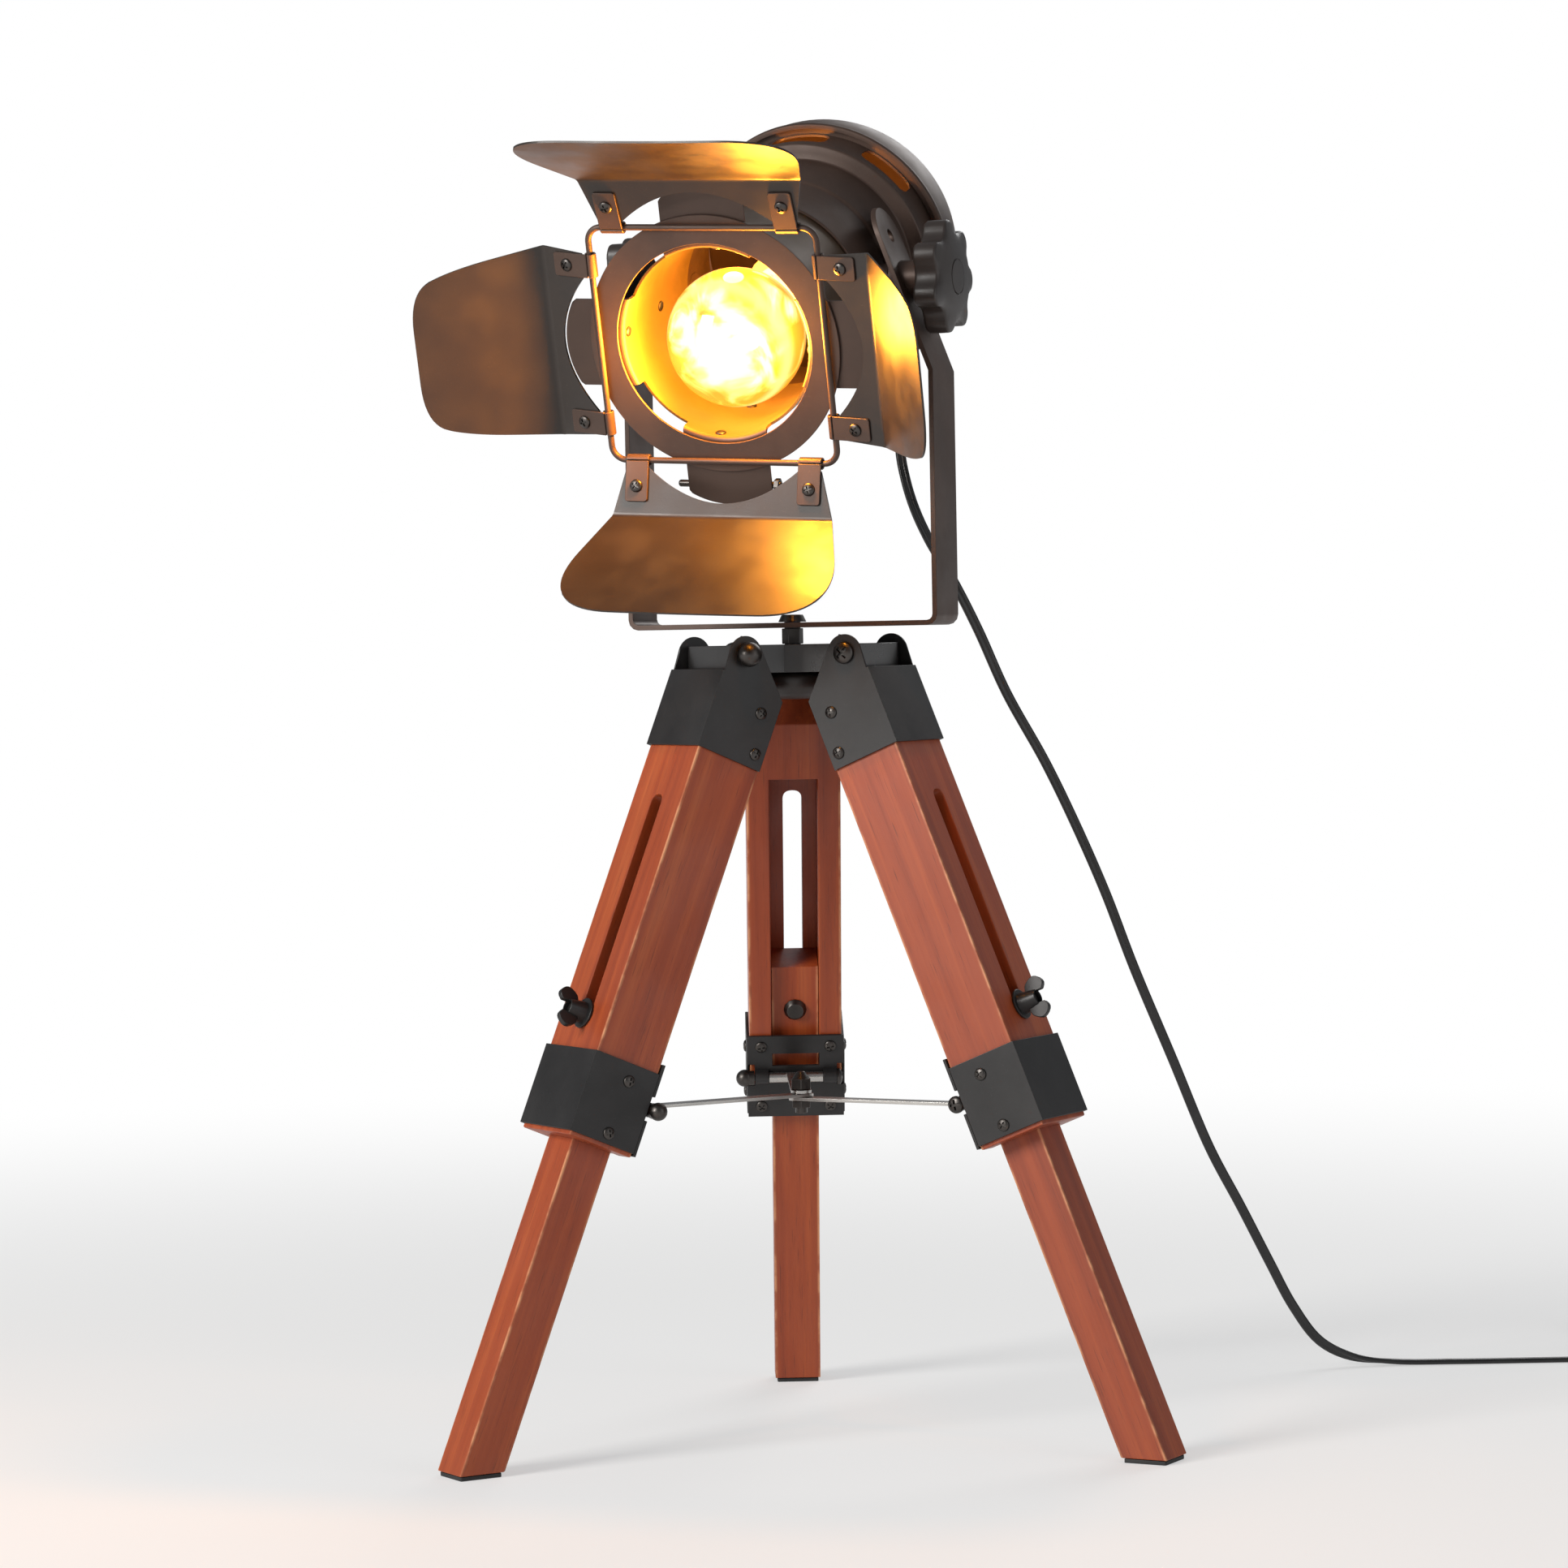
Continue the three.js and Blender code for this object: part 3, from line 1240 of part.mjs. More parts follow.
// Least gap between stretches of the coil that are not neighbours along it
function leastSelfGap(points) {
  let least = Infinity;
  const apart = coilSteps / 2;
  for (let i = 0; i < points.length; i += 1) {
    for (let k = i + apart; k < points.length; k += 1) {
      least = Math.min(least, points[i].distanceTo(points[k]));
    }
  }
  return least - cordDiameter;
}

const windings = coilPoints();
console.log(`coil self gap ${leastSelfGap(windings).toFixed(2)} mm`);
const coilEnd = windings[windings.length - 1];

function runLength(points) {
  return points.slice(1).reduce((sum, p, i) => sum + p.distanceTo(points[i]), 0);
}

function switchBody() {
  const y0 = coilEnd.y + fitGap;
  const half = switchWidth / 2;
  const plan = outline([
    [coilEnd.x - half, y0, switchRound], [coilEnd.x + half, y0, switchRound],
    [coilEnd.x + half, y0 + switchLength, switchRound], [coilEnd.x - half, y0 + switchLength, switchRound],
  ]);
  const body = slab(plan, 'z', 0, switchHeight, 4);
  const well = block(coilEnd.x - rockerWidth / 2 - fitGap, coilEnd.x + rockerWidth / 2 + fitGap,
    y0 + (switchLength - rockerLength) / 2 - fitGap, y0 + (switchLength + rockerLength) / 2 + fitGap,
    switchHeight - rockerDepth - rockerRise, switchHeight + cutOver);
  return cut(body, well);
}

const rockerTiltDeg = 7;
const rockerAxisZ = switchHeight - rockerRise;

function rocker() {
  const half = rockerLength / 2 - rockerRise / 2;
  const drop = (rockerLength / 2) * Math.tan(degToRad(rockerTiltDeg));
  const side = outline([[-half, rockerRise / 2], [0, rockerRise / 2 - drop / 2], [half, rockerRise / 2],
    [half, rockerRise + fitGap], [0, rockerRise + fitGap - drop], [-half, rockerRise + fitGap]]);
  const stem = new THREE.Shape();
  stem.moveTo(-rockerRise, rockerRise / 2);
  stem.absarc(0, -rockerRise / 2, rockerRise, Math.PI, Math.PI * 2, false);
  stem.lineTo(rockerRise, rockerRise / 2);
  stem.closePath();
  return joined(slab(side, 'x', -rockerWidth / 2, rockerWidth / 2), slab(stem, 'x', -rockerWidth / 2,
    rockerWidth / 2, 5));
}

const tailStart = new THREE.Vector3(coilEnd.x, coilEnd.y + fitGap * 2 + switchLength, coilEnd.z);

// A short lead that turns back beside the switch and rests on the table between its ends
function tailPoints() {
  const points = [tailStart, tailStart.clone().setY(tailStart.y + tailLead)];
  const centre = new THREE.Vector3(tailStart.x - tailTurnRadius, tailStart.y + tailStraight, tailStart.z);
  const drop = tailStart.z - cordRadius;
  tailDropShares.forEach((share, i) => {
    const t = (i / (tailDropShares.length - 1)) * Math.PI;
    points.push(new THREE.Vector3(centre.x + tailTurnRadius * Math.cos(t),
      centre.y + tailTurnRadius * Math.sin(t), centre.z - share * drop));
  });
  const end = new THREE.Vector3(centre.x - tailTurnRadius, tailStart.y + tailBack, tailStart.z);
  points.push(end.clone().setY(end.y + tailLead), end);
  return points;
}

const tail = tailPoints();

// Two-blade plug, lying on its broad face with the blades towards -Y
function plug() {
  const end = tail[tail.length - 1];
  const y1 = end.y - fitGap;
  const body = y1 - plugNoseLength;
  const half = plugWidth / 2;
  const nose = rod('y', body - cutOver, y1, end.x, end.z, plugNoseRadius, smallSides, plugNoseRadius * 0.75);
  const side = outline([[end.x - half, 0, switchRound], [end.x + half, 0, switchRound],
    [end.x + half, plugHeight, switchRound], [end.x - half, plugHeight, switchRound]]);
  const shellBody = slab(side, 'y', body - plugLength, body, 4);
  const blades = [-1, 1].map((k) => block(end.x + (k * bladeSpacing) / 2 - bladeThickness / 2,
    end.x + (k * bladeSpacing) / 2 + bladeThickness / 2, body - plugLength - bladeLength, body - plugLength + cutOver,
    plugHeight / 2 - bladeWidth / 2, plugHeight / 2 + bladeWidth / 2));
  return joined(shellBody, nose, ...blades);
}

piece('cord', freeCord(), 'cord', cordParts);
piece('cord_coil', swept(windings, cordRadius, coilSides, new THREE.Vector3(0, 0, 1), false,
  new THREE.Vector3(1, 0, 0), new THREE.Vector3(0, 1, 0)), 'cord', cordParts);
piece('cord_switch', switchBody(), 'knobPlastic', cordParts);
const rockerMesh = piece('switch_rocker', rocker(), 'knobPlastic', cordParts);
rockerMesh.position.set(coilEnd.x, coilEnd.y + fitGap + switchLength / 2, rockerAxisZ);
rockerMesh.rotation.x = degToRad(rockerTiltDeg);
piece('cord_tail', tube(tail, tailSteps), 'cord', cordParts);
piece('plug', plug(), 'knobPlastic', cordParts);
console.log(`cord run ${runLength([bootTipPoint(0), ...cordRoute.map((p) => new THREE.Vector3(...p))]).toFixed(0)}`
  + ` coil ${runLength(windings).toFixed(0)} tail ${runLength(tail).toFixed(0)} mm`);

// Origin under the middle of the lamp, the cord and what is on it left aside
lamp.remove(cordParts);
lamp.updateMatrixWorld(true);
const extent = new THREE.Box3().setFromObject(lamp, true);
lamp.add(cordParts);
const centre = extent.getCenter(new THREE.Vector3());
lamp.position.set(-centre.x, -centre.y, -extent.min.z);
const assembly = new THREE.Group();
assembly.add(lamp);
assembly.updateMatrixWorld(true);

export default assembly;
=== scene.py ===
import json
import math

import bmesh
import bpy
from mathutils import Matrix, Vector

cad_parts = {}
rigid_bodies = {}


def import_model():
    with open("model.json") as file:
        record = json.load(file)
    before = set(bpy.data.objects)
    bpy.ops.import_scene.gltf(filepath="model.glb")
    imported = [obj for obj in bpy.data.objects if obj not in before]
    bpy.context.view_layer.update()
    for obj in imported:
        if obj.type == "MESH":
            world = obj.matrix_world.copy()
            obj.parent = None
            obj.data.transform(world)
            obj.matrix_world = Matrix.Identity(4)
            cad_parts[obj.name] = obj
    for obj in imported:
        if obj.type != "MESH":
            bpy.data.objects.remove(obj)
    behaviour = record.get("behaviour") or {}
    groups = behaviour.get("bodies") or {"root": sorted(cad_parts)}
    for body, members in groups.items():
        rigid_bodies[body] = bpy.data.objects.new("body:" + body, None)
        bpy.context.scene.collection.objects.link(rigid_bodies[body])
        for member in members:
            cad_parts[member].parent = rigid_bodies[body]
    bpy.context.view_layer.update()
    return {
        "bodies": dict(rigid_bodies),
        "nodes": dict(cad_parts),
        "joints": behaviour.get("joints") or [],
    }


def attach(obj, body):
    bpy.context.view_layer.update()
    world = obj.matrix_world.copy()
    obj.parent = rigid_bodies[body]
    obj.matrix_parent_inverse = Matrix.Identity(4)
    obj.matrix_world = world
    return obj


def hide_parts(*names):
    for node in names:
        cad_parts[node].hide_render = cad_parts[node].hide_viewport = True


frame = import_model()
MM = 0.001

# Frames of the lamp's own pieces in millimetres and degrees, as the source of the solids has them

LEGS = (1, 2, 3)
FIRST_RAY, LEG_LEAN = 91.45, -22.4
LEG_HINGE = (41.6, 0, 385)
YOKE_TURN, HEAD_TILT, BARREL_TWIST = -22, 20, 3
TILT_HEIGHT = 565
SOCKET_SEAT, SOCKET_DROP, SOCKET_TURN = 42.8, 4.3, -2.3
WIRE_PLANE, WIRE_HALF = -99.8, 57.5


def rot(axis, degrees):
    return Matrix.Rotation(math.radians(degrees), 4, axis)


def at(x, y, z):
    return Matrix.Translation(Vector((x, y, z)) * MM)


def turned_to(direction, start=(0, 0, 1)):
    """The turn that brings one direction to another."""
    return Vector(start).rotation_difference(Vector(direction)).to_matrix().to_4x4()


pan_place = next(j for j in frame["joints"] if j["name"] == "pan")["pos_m"]
AXIS = Matrix.Translation((pan_place[0], pan_place[1], 0))
RAY = {n: AXIS @ rot("Z", FIRST_RAY + 120 * (n - 1)) for n in LEGS}
LEG = {n: RAY[n] @ at(*LEG_HINGE) @ rot("Y", LEG_LEAN) for n in LEGS}
YOKE = AXIS @ rot("Z", YOKE_TURN)
TILT = YOKE @ at(0, 0, TILT_HEIGHT)
HEAD = TILT @ rot("X", HEAD_TILT)
FRONT = HEAD @ rot("Y", BARREL_TWIST)
LIGHT = HEAD @ at(0, SOCKET_SEAT, 0) @ rot("X", SOCKET_DROP) @ rot("Z", SOCKET_TURN)


def linked(name, data):
    obj = bpy.data.objects.new(name, data)
    bpy.context.scene.collection.objects.link(obj)
    return obj


# Camera at the photograph's viewing angle

CAMERA_YAW, CAMERA_PITCH, CAMERA_ROLL = -0.1339, 1.762, -1.0785
CAMERA_PLACE = (0, -2.3849, 0.3945)
SENSOR_WIDTH, FOCAL_LENGTH, CLIP_END = 36, 111.82, 100


def make_camera():
    yaw, pitch, roll = (math.radians(a) for a in (CAMERA_YAW, CAMERA_PITCH, CAMERA_ROLL))
    ahead = Vector((math.sin(yaw), math.cos(yaw), 0))
    right = Vector((math.cos(yaw), -math.sin(yaw), 0))
    forward = ahead * math.cos(pitch) - Vector((0, 0, math.sin(pitch)))
    up = ahead * math.sin(pitch) + Vector((0, 0, math.cos(pitch)))
    side = right * math.cos(roll) + up * math.sin(roll)
    top = up * math.cos(roll) - right * math.sin(roll)
    data = bpy.data.cameras.new("camera")
    data.sensor_fit = "HORIZONTAL"
    data.sensor_width = SENSOR_WIDTH
    data.lens = FOCAL_LENGTH
    data.clip_end = CLIP_END
    camera = linked("camera", data)
    turn = Matrix((side, top, -forward)).transposed().to_4x4()
    camera.matrix_world = Matrix.Translation(AXIS @ Vector(CAMERA_PLACE)) @ turn
    bpy.context.scene.camera = camera


make_camera()

# Materials, kept by name; a piece's slot is the look named in its call

LOOKS = {}


class Look:
    def __init__(self, name, roughness=0.5, metallic=0.0, **values):
        self.material = bpy.data.materials.new(name)
        self.material.use_nodes = True
        self.tree = self.material.node_tree
        self.tree.nodes.clear()
        self.out = self.add("OutputMaterial")
        self.shader = self.add("BsdfPrincipled")
        self.link(self.shader.outputs[0], self.out.inputs[0])
        self.shader.inputs["Roughness"].default_value = roughness
        self.shader.inputs["Metallic"].default_value = metallic
        for key, value in values.items():
            self.shader.inputs[key.replace("_", " ")].default_value = value
        self.place = self.add("TexCoord").outputs["Object"]
        LOOKS[name] = self.material

    def add(self, kind):
        return self.tree.nodes.new("ShaderNode" + kind)

    def link(self, a, b):
        self.tree.links.new(a, b)

    def put(self, socket, value):
        if hasattr(value, "is_output"):
            self.link(value, socket)
        else:
            socket.default_value = (*value, 1) if isinstance(value, tuple) else value

    def moved(self, stretch=(1, 1, 1), shift=(0, 0, 0), source=None):
        node = self.add("Mapping")
        self.link(source or self.place, node.inputs["Vector"])
        node.inputs["Scale"].default_value = stretch
        node.inputs["Location"].default_value = shift
        return node.outputs[0]

    def noise(self, scale, detail=3.0, rough=0.5, source=None, distortion=0.0):
        node = self.add("TexNoise")
        self.link(source or self.place, node.inputs["Vector"])
        node.inputs["Scale"].default_value = scale
        node.inputs["Detail"].default_value = detail
        node.inputs["Roughness"].default_value = rough
        node.inputs["Distortion"].default_value = distortion
        return node.outputs[0]

    def spread(self, value, lo, hi, to_lo=0.0, to_hi=1.0):
        node = self.add("MapRange")
        node.interpolation_type = "SMOOTHSTEP"
        self.put(node.inputs["Value"], value)
        for key, number in (("From Min", lo), ("From Max", hi), ("To Min", to_lo), ("To Max", to_hi)):
            node.inputs[key].default_value = number
        return node.outputs[0]

    def math(self, operation, a, b=0.0):
        node = self.add("Math")
        node.operation = operation
        self.put(node.inputs[0], a)
        self.put(node.inputs[1], b)
        return node.outputs[0]

    def weighted(self, a, share_a, b, share_b):
        return self.math("ADD", self.math("MULTIPLY", a, share_a), self.math("MULTIPLY", b, share_b))

    def distance(self, a, b):
        return self.math("SQRT", self.weighted(a, a, b, b))

    def ramp(self, value, stops):
        node = self.add("ValToRGB")
        self.link(value, node.inputs[0])
        elements = node.color_ramp.elements
        while len(elements) < len(stops):
            elements.new(0.5)
        for element, (where, colour) in zip(elements, stops):
            element.position = where
            element.color = (*colour, 1)
        return node.outputs[0]

    def mix(self, amount, a, b):
        node = self.add("Mix")
        node.data_type = "RGBA"
        for number, value in ((0, amount), (6, a), (7, b)):
            self.put(node.inputs[number], value)
        return node.outputs[2]

    def axes(self):
        node = self.add("SeparateXYZ")
        self.link(self.place, node.inputs[0])
        return node.outputs

    def cloud(self):
        return self.spread(self.noise(22, 5, 0.6), 0.32, 0.68)

    def colour(self, value):
        self.put(self.shader.inputs["Base Color"], value)

    def rough(self, value, lo, hi):
        self.link(self.spread(value, 0.3, 0.7, lo, hi), self.shader.inputs["Roughness"])

    def bump(self, height, strength, distance):
        node = self.add("Bump")
        node.inputs["Strength"].default_value = strength
        node.inputs["Distance"].default_value = distance
        self.link(height, node.inputs["Height"])
        self.link(node.outputs[0], self.shader.inputs["Normal"])


def tinted(colour, factor):
    return tuple(min(c * factor, 1) for c in colour)


# the second colour is a painted glow of the bulb's light on the barrel's inside
BRONZE, BULB_GLOW_GOLD = (0.07, 0.042, 0.031), (0.15, 0.1, 0.03)
WOOD_TONES = (
    (0.3, (0.18, 0.024, 0.005)), (0.47, (0.3, 0.048, 0.01)),
    (0.56, (0.37, 0.068, 0.014)), (0.7, (0.46, 0.108, 0.026)),
)
FIBRE_COLOUR, PORE_COLOUR, WORN_COLOUR = (0.3, 0.052, 0.014), (0.1, 0.018, 0.006), (0.7, 0.33, 0.16)
# how far inside a bar's edge its wear begins and is full, in metres
WEAR_BEGINS, WEAR_FULL = 0.0016, 0.0004
# the barrel's inner face, inside this distance from its axis in metres, carries a painted golden glow of the
# bulb's light
BULB_GLOW_RADIUS, EDGE_BLUR = 0.0473, 0.0002
GLOBE_RADIUS = 33.4
# the white-hot middle lies a little above and beside the front of the globe
GLOW = (6.0, 8.0)
GLOW_TONES = (
    (0.0, (1.0, 1.0, 0.96)), (0.46, (1.0, 0.98, 0.78)), (0.64, (1.0, 0.84, 0.3)),
    (0.86, (0.95, 0.55, 0.08)), (1.0, (0.7, 0.3, 0.03)),
)
GLASS_COLOUR, RIM_COLOUR = (0.4, 0.17, 0.03), (1.0, 0.86, 0.34)
GLOW_STRENGTH = 1.2


def wood(name, shift, middle, half_across, half_wide):
    """Stained wood with its grain along z; the bar's edges are worn."""
    look = Look(name, Coat_Weight=0.1, Coat_Roughness=0.35)
    own = look.moved(shift=(shift, shift * 0.37, shift * 1.9))
    fibre = look.noise(1.0, 5, 0.6, look.moved((850, 850, 13), source=own))
    broad = look.noise(1.0, 3, 0.55, look.moved((34, 34, 2.4), source=own), distortion=1.4)
    bands = look.noise(1.0, 2, 0.5, look.moved((150, 150, 3.6), source=own), distortion=0.6)
    pores = look.noise(1.0, 2, 0.7, look.moved((1500, 1500, 42), source=own))
    base = look.ramp(look.weighted(broad, 0.62, bands, 0.38), WOOD_TONES)
    base = look.mix(look.spread(fibre, 0.34, 0.66, 0.0, 0.5), base, FIBRE_COLOUR)
    base = look.mix(look.spread(pores, 0.6, 0.72, 0.0, 0.6), base, PORE_COLOUR)
    x, y, _ = look.axes()
    off_x = look.math("ABSOLUTE", look.math("SUBTRACT", x, middle))
    off_y = look.math("ABSOLUTE", y)
    wear = look.math("MULTIPLY", look.spread(off_x, half_across - WEAR_BEGINS, half_across - WEAR_FULL),
                     look.spread(off_y, half_wide - WEAR_BEGINS, half_wide - WEAR_FULL))
    worn = look.math("MULTIPLY", wear, look.spread(look.noise(70, 3), 0.4, 0.6, 0.15, 0.75))
    look.colour(look.mix(worn, base, WORN_COLOUR))
    look.rough(look.noise(28, 4), 0.36, 0.54)
    look.bump(look.weighted(fibre, 0.5, pores, -0.5), 0.18, 0.0004)


def paint(name, colour, roughness, metallic, grit=1400, bump=0.12, mottle=0.18, coat=0.0):
    look = Look(name, metallic=metallic, Coat_Weight=coat, Coat_Roughness=0.25)
    base = look.mix(look.cloud(), tinted(colour, 1 - mottle), tinted(colour, 1 + mottle))
    speck = look.spread(look.noise(900, 2, 0.5), 0.66, 0.74, 0.0, 0.35)
    look.colour(look.mix(speck, base, tinted(colour, 1.9)))
    look.rough(look.noise(46, 4), roughness - 0.06, roughness + 0.07)
    look.bump(look.noise(grit, 3, 0.6), bump, 0.0002)


def barrel_paint_with_painted_glow(name, glow_gold, dark):
    """The paint of the barrel: a painted golden glow of the bulb's light near its axis, dark outside."""
    look = Look(name, 0.44, 0.4)
    x, _, z = look.axes()
    away = look.distance(x, z)
    cloud = look.cloud()
    inside = look.mix(cloud, tinted(glow_gold, 0.82), glow_gold)
    outside = look.mix(cloud, tinted(dark, 0.82), dark)
    edge = look.spread(away, BULB_GLOW_RADIUS - EDGE_BLUR, BULB_GLOW_RADIUS + EDGE_BLUR)
    look.colour(look.mix(edge, inside, outside))
    look.rough(look.noise(46, 4), 0.38, 0.5)
    look.bump(look.noise(1400, 3, 0.6), 0.1, 0.0002)


def brushed(name, colour, roughness, stretch):
    look = Look(name, metallic=1.0)
    lines = look.noise(1.0, 4, 0.6, look.moved(stretch))
    cloud = look.noise(45, 4, 0.6)
    base = look.mix(look.spread(cloud, 0.35, 0.65, 0.0, 0.5), colour, tinted(colour, 0.72))
    look.colour(look.mix(look.spread(lines, 0.4, 0.6, 0.0, 0.25), base, tinted(colour, 0.8)))
    look.rough(lines, roughness - 0.05, roughness + 0.09)
    look.bump(lines, 0.06, 0.0001)


def rubber(name, colour, roughness):
    look = Look(name)
    look.colour(look.mix(look.spread(look.noise(60, 4), 0.35, 0.65), colour, tinted(colour, 1.6)))
    look.rough(look.noise(120, 3), roughness - 0.05, roughness + 0.08)
    look.bump(look.noise(2200, 2), 0.08, 0.0001)


def glowing_glass(name):
    look = Look(name, 0.06, Coat_Weight=0.7, Coat_Roughness=0.02)
    look.colour(GLASS_COLOUR)
    x, _, z = look.axes()
    radius = GLOBE_RADIUS * MM
    dx, dz = (look.math("DIVIDE", look.math("SUBTRACT", place, offset * MM), radius)
              for place, offset in zip((x, z), GLOW))
    away = look.distance(dx, dz)
    waves = look.noise(30, 3, 0.5, distortion=2.2)
    ripple = look.math("MULTIPLY", look.math("SUBTRACT", waves, 0.5), 2.1)
    glow = look.ramp(look.math("ADD", away, ripple), GLOW_TONES)
    rim = look.distance(look.math("DIVIDE", x, radius), look.math("DIVIDE", z, radius))
    ring = look.math("MULTIPLY", look.spread(rim, 0.84, 0.93), look.spread(rim, 0.99, 0.94))
    glow = look.mix(look.math("MULTIPLY", ring, 0.75), glow, RIM_COLOUR)
    look.put(look.shader.inputs["Emission Color"], glow)
    look.shader.inputs["Emission Strength"].default_value = GLOW_STRENGTH


paint("bronze_paint", BRONZE, 0.5, 0.35)
# the barrel's inside is painted golden as a painted glow of the bulb's light
barrel_paint_with_painted_glow("bronze_painted_glow_inside", BULB_GLOW_GOLD, BRONZE)
paint("leaf_bronze", (0.026, 0.019, 0.015), 0.36, 0.1)
paint("black_bracket", (0.018, 0.017, 0.017), 0.42, 0.2, mottle=0.25)
paint("hub_black", (0.02, 0.0185, 0.018), 0.3, 0.2, grit=700, bump=0.08, coat=0.35)
paint("knob_plastic", (0.03, 0.022, 0.019), 0.42, 0.0, grit=1800, bump=0.1)
paint("plug_plastic", (0.018, 0.018, 0.018), 0.38, 0.0, grit=1800, bump=0.08)
brushed("dark_screw", (0.085, 0.078, 0.073), 0.36, (400, 400, 400))
brushed("bright_steel", (0.5, 0.485, 0.46), 0.3, (30, 1500, 1500))
rubber("foot_rubber", (0.012, 0.012, 0.012), 0.62)
rubber("boot_rubber", (0.014, 0.014, 0.014), 0.5)
paint("socket_porcelain", (0.72, 0.68, 0.58), 0.25, 0.0, mottle=0.06, bump=0.02)
rubber("cord_pvc", (0.01, 0.01, 0.01), 0.3)
glowing_glass("amber_glow")
for n in LEGS:
    wood(f"stained_wood_outer_{n}", 0.31 * n, middle=-0.0098, half_across=0.0177, half_wide=0.0235)
    wood(f"stained_wood_inner_{n}", 1.7 + 0.43 * n, middle=-0.01185, half_across=0.01105, half_wide=0.0118)

# Shapes, as lists of points in millimetres and faces


def joined(*parts):
    verts, faces = [], []
    for part_verts, part_faces in parts:
        start = len(verts)
        verts.extend(part_verts)
        faces.extend(tuple(i + start for i in face) for face in part_faces)
    return verts, faces


def shifted(part, matrix):
    scaled = matrix.copy()
    scaled.translation = matrix.translation / MM
    return [tuple(scaled @ Vector(v)) for v in part[0]], part[1]


def swap(axis, u, v, w):
    return {"x": (w, u, v), "y": (u, w, v), "z": (u, v, w)}[axis]


def arc(centre, radii, start, end, steps):
    """Points of a circle or an ellipse from one angle to another, in degrees."""
    angles = [math.radians(start + (end - start) * k / steps) for k in range(steps + 1)]
    return [(centre[0] + radii[0] * math.cos(t), centre[1] + radii[1] * math.sin(t)) for t in angles]


def band(lower, upper, count):
    """Faces between two closed rings of points, given the number of each ring's first point."""
    return [(lower + k, lower + (k + 1) % count, upper + (k + 1) % count, upper + k) for k in range(count)]


def lathe(profile, sides=96, axis="y", closed=False, u=0.0, v=0.0):
    """A profile of (radius, height) points turned about an axis through (u, v)."""
    verts, faces, rings = [], [], []
    for radius, height in profile:
        if radius < 1e-6:
            rings.append((len(verts), 1))
            verts.append(swap(axis, u, v, height))
            continue
        rings.append((len(verts), sides))
        for k in range(sides):
            t = 2 * math.pi * k / sides
            verts.append(swap(axis, u + radius * math.cos(t), v + radius * math.sin(t), height))
    pairs = [(k, (k + 1) % sides) for k in range(sides)]
    for (a, size_a), (b, size_b) in list(zip(rings, rings[1:])) + ([(rings[-1], rings[0])] if closed else []):
        if size_a == size_b == sides:
            faces += [(a + k, b + k, b + after, a + after) for k, after in pairs]
        elif size_a == sides:
            faces += [(a + k, b, a + after) for k, after in pairs]
        elif size_b == sides:
            faces += [(a, b + k, b + after) for k, after in pairs]
    return verts, faces


def cylinder(radius, lo, hi, sides, axis="y", **place):
    return lathe([(0, lo), (radius, lo), (radius, hi), (0, hi)], sides, axis, **place)


def prism(outline, axis, lo, hi):
    n = len(outline)
    verts = [swap(axis, u, v, w) for w in (lo, hi) for u, v in outline]
    faces = [tuple(range(n)), tuple(reversed(range(n, 2 * n)))]
    return verts, faces + band(0, n, n)


def box(x0, x1, y0, y1, z0, z1):
    return prism([(x0, y0), (x1, y0), (x1, y1), (x0, y1)], "z", z0, z1)


def rounded(corners, steps=8):
    """An outline whose corners (u, v, amount) are curves that begin that far from the corner."""
    points = []
    n = len(corners)
    for i, corner in enumerate(corners):
        here = Vector(corner[:2])
        amount = corner[2] if len(corner) > 2 else 0
        if amount <= 0:
            points.append(tuple(here))
            continue
        before = Vector(corners[(i - 1) % n][:2]) - here
        after = Vector(corners[(i + 1) % n][:2]) - here
        a = here + before.normalized() * min(amount, before.length / 2)
        b = here + after.normalized() * min(amount, after.length / 2)
        for k in range(steps + 1):
            t = k / steps
            points.append(tuple(a * (1 - t) ** 2 + here * 2 * t * (1 - t) + b * t * t))
    return points


def sweep(points, section, sideways, closed=False):
    """A section of (across, up) points carried along a line; sideways gives its across direction."""
    count, size = len(points), len(section)
    verts, faces = [], []
    for i, point in enumerate(points):
        before = points[i - 1] if closed or i else point
        after = points[(i + 1) % count] if closed or i + 1 < count else point
        forward = (after - before).normalized()
        across = sideways(i, forward)
        across = (across - forward * across.dot(forward)).normalized()
        up = across.cross(forward)
        verts.extend(tuple(point + across * a + up * b) for a, b in section)
    for i in range(count if closed else count - 1):
        faces += band(i * size, (i + 1) % count * size, size)
    if not closed:
        faces.append(tuple(range(size)))
        faces.append(tuple(reversed(range((count - 1) * size, count * size))))
    return verts, faces


def mesh_of(name, part):
    mesh = bpy.data.meshes.new(name)
    mesh.from_pydata([Vector(v) * MM for v in part[0]], [], part[1])
    bm = bmesh.new()
    bm.from_mesh(mesh)
    bmesh.ops.recalc_face_normals(bm, faces=bm.faces)
    bm.to_mesh(mesh)
    bm.free()
    return mesh


def part_of(mesh):
    return [tuple(v.co / MM) for v in mesh.vertices], [tuple(p.vertices) for p in mesh.polygons]


def node_mesh(node, matrix):
    """A node's own mesh in the given frame, with the triangles of each flat face joined."""
    bm = bmesh.new()
    bm.from_mesh(frame["nodes"][node].data)
    bm.transform(matrix.inverted())
    bmesh.ops.remove_doubles(bm, verts=bm.verts, dist=2e-6)
    bmesh.ops.dissolve_limit(bm, angle_limit=math.radians(1.5), verts=bm.verts, edges=bm.edges)
    mesh = bpy.data.meshes.new(node + "_skin")
    bm.to_mesh(mesh)
    bm.free()
    return mesh


def removed(obj):
    data = obj.data
    bpy.data.objects.remove(obj)
    bpy.data.meshes.remove(data)


def evaluated(obj):
    """The object's mesh with its modifiers done; the object itself is removed."""
    bpy.context.view_layer.update()
    mesh = bpy.data.meshes.new_from_object(obj.evaluated_get(bpy.context.evaluated_depsgraph_get()))
    removed(obj)
    return mesh


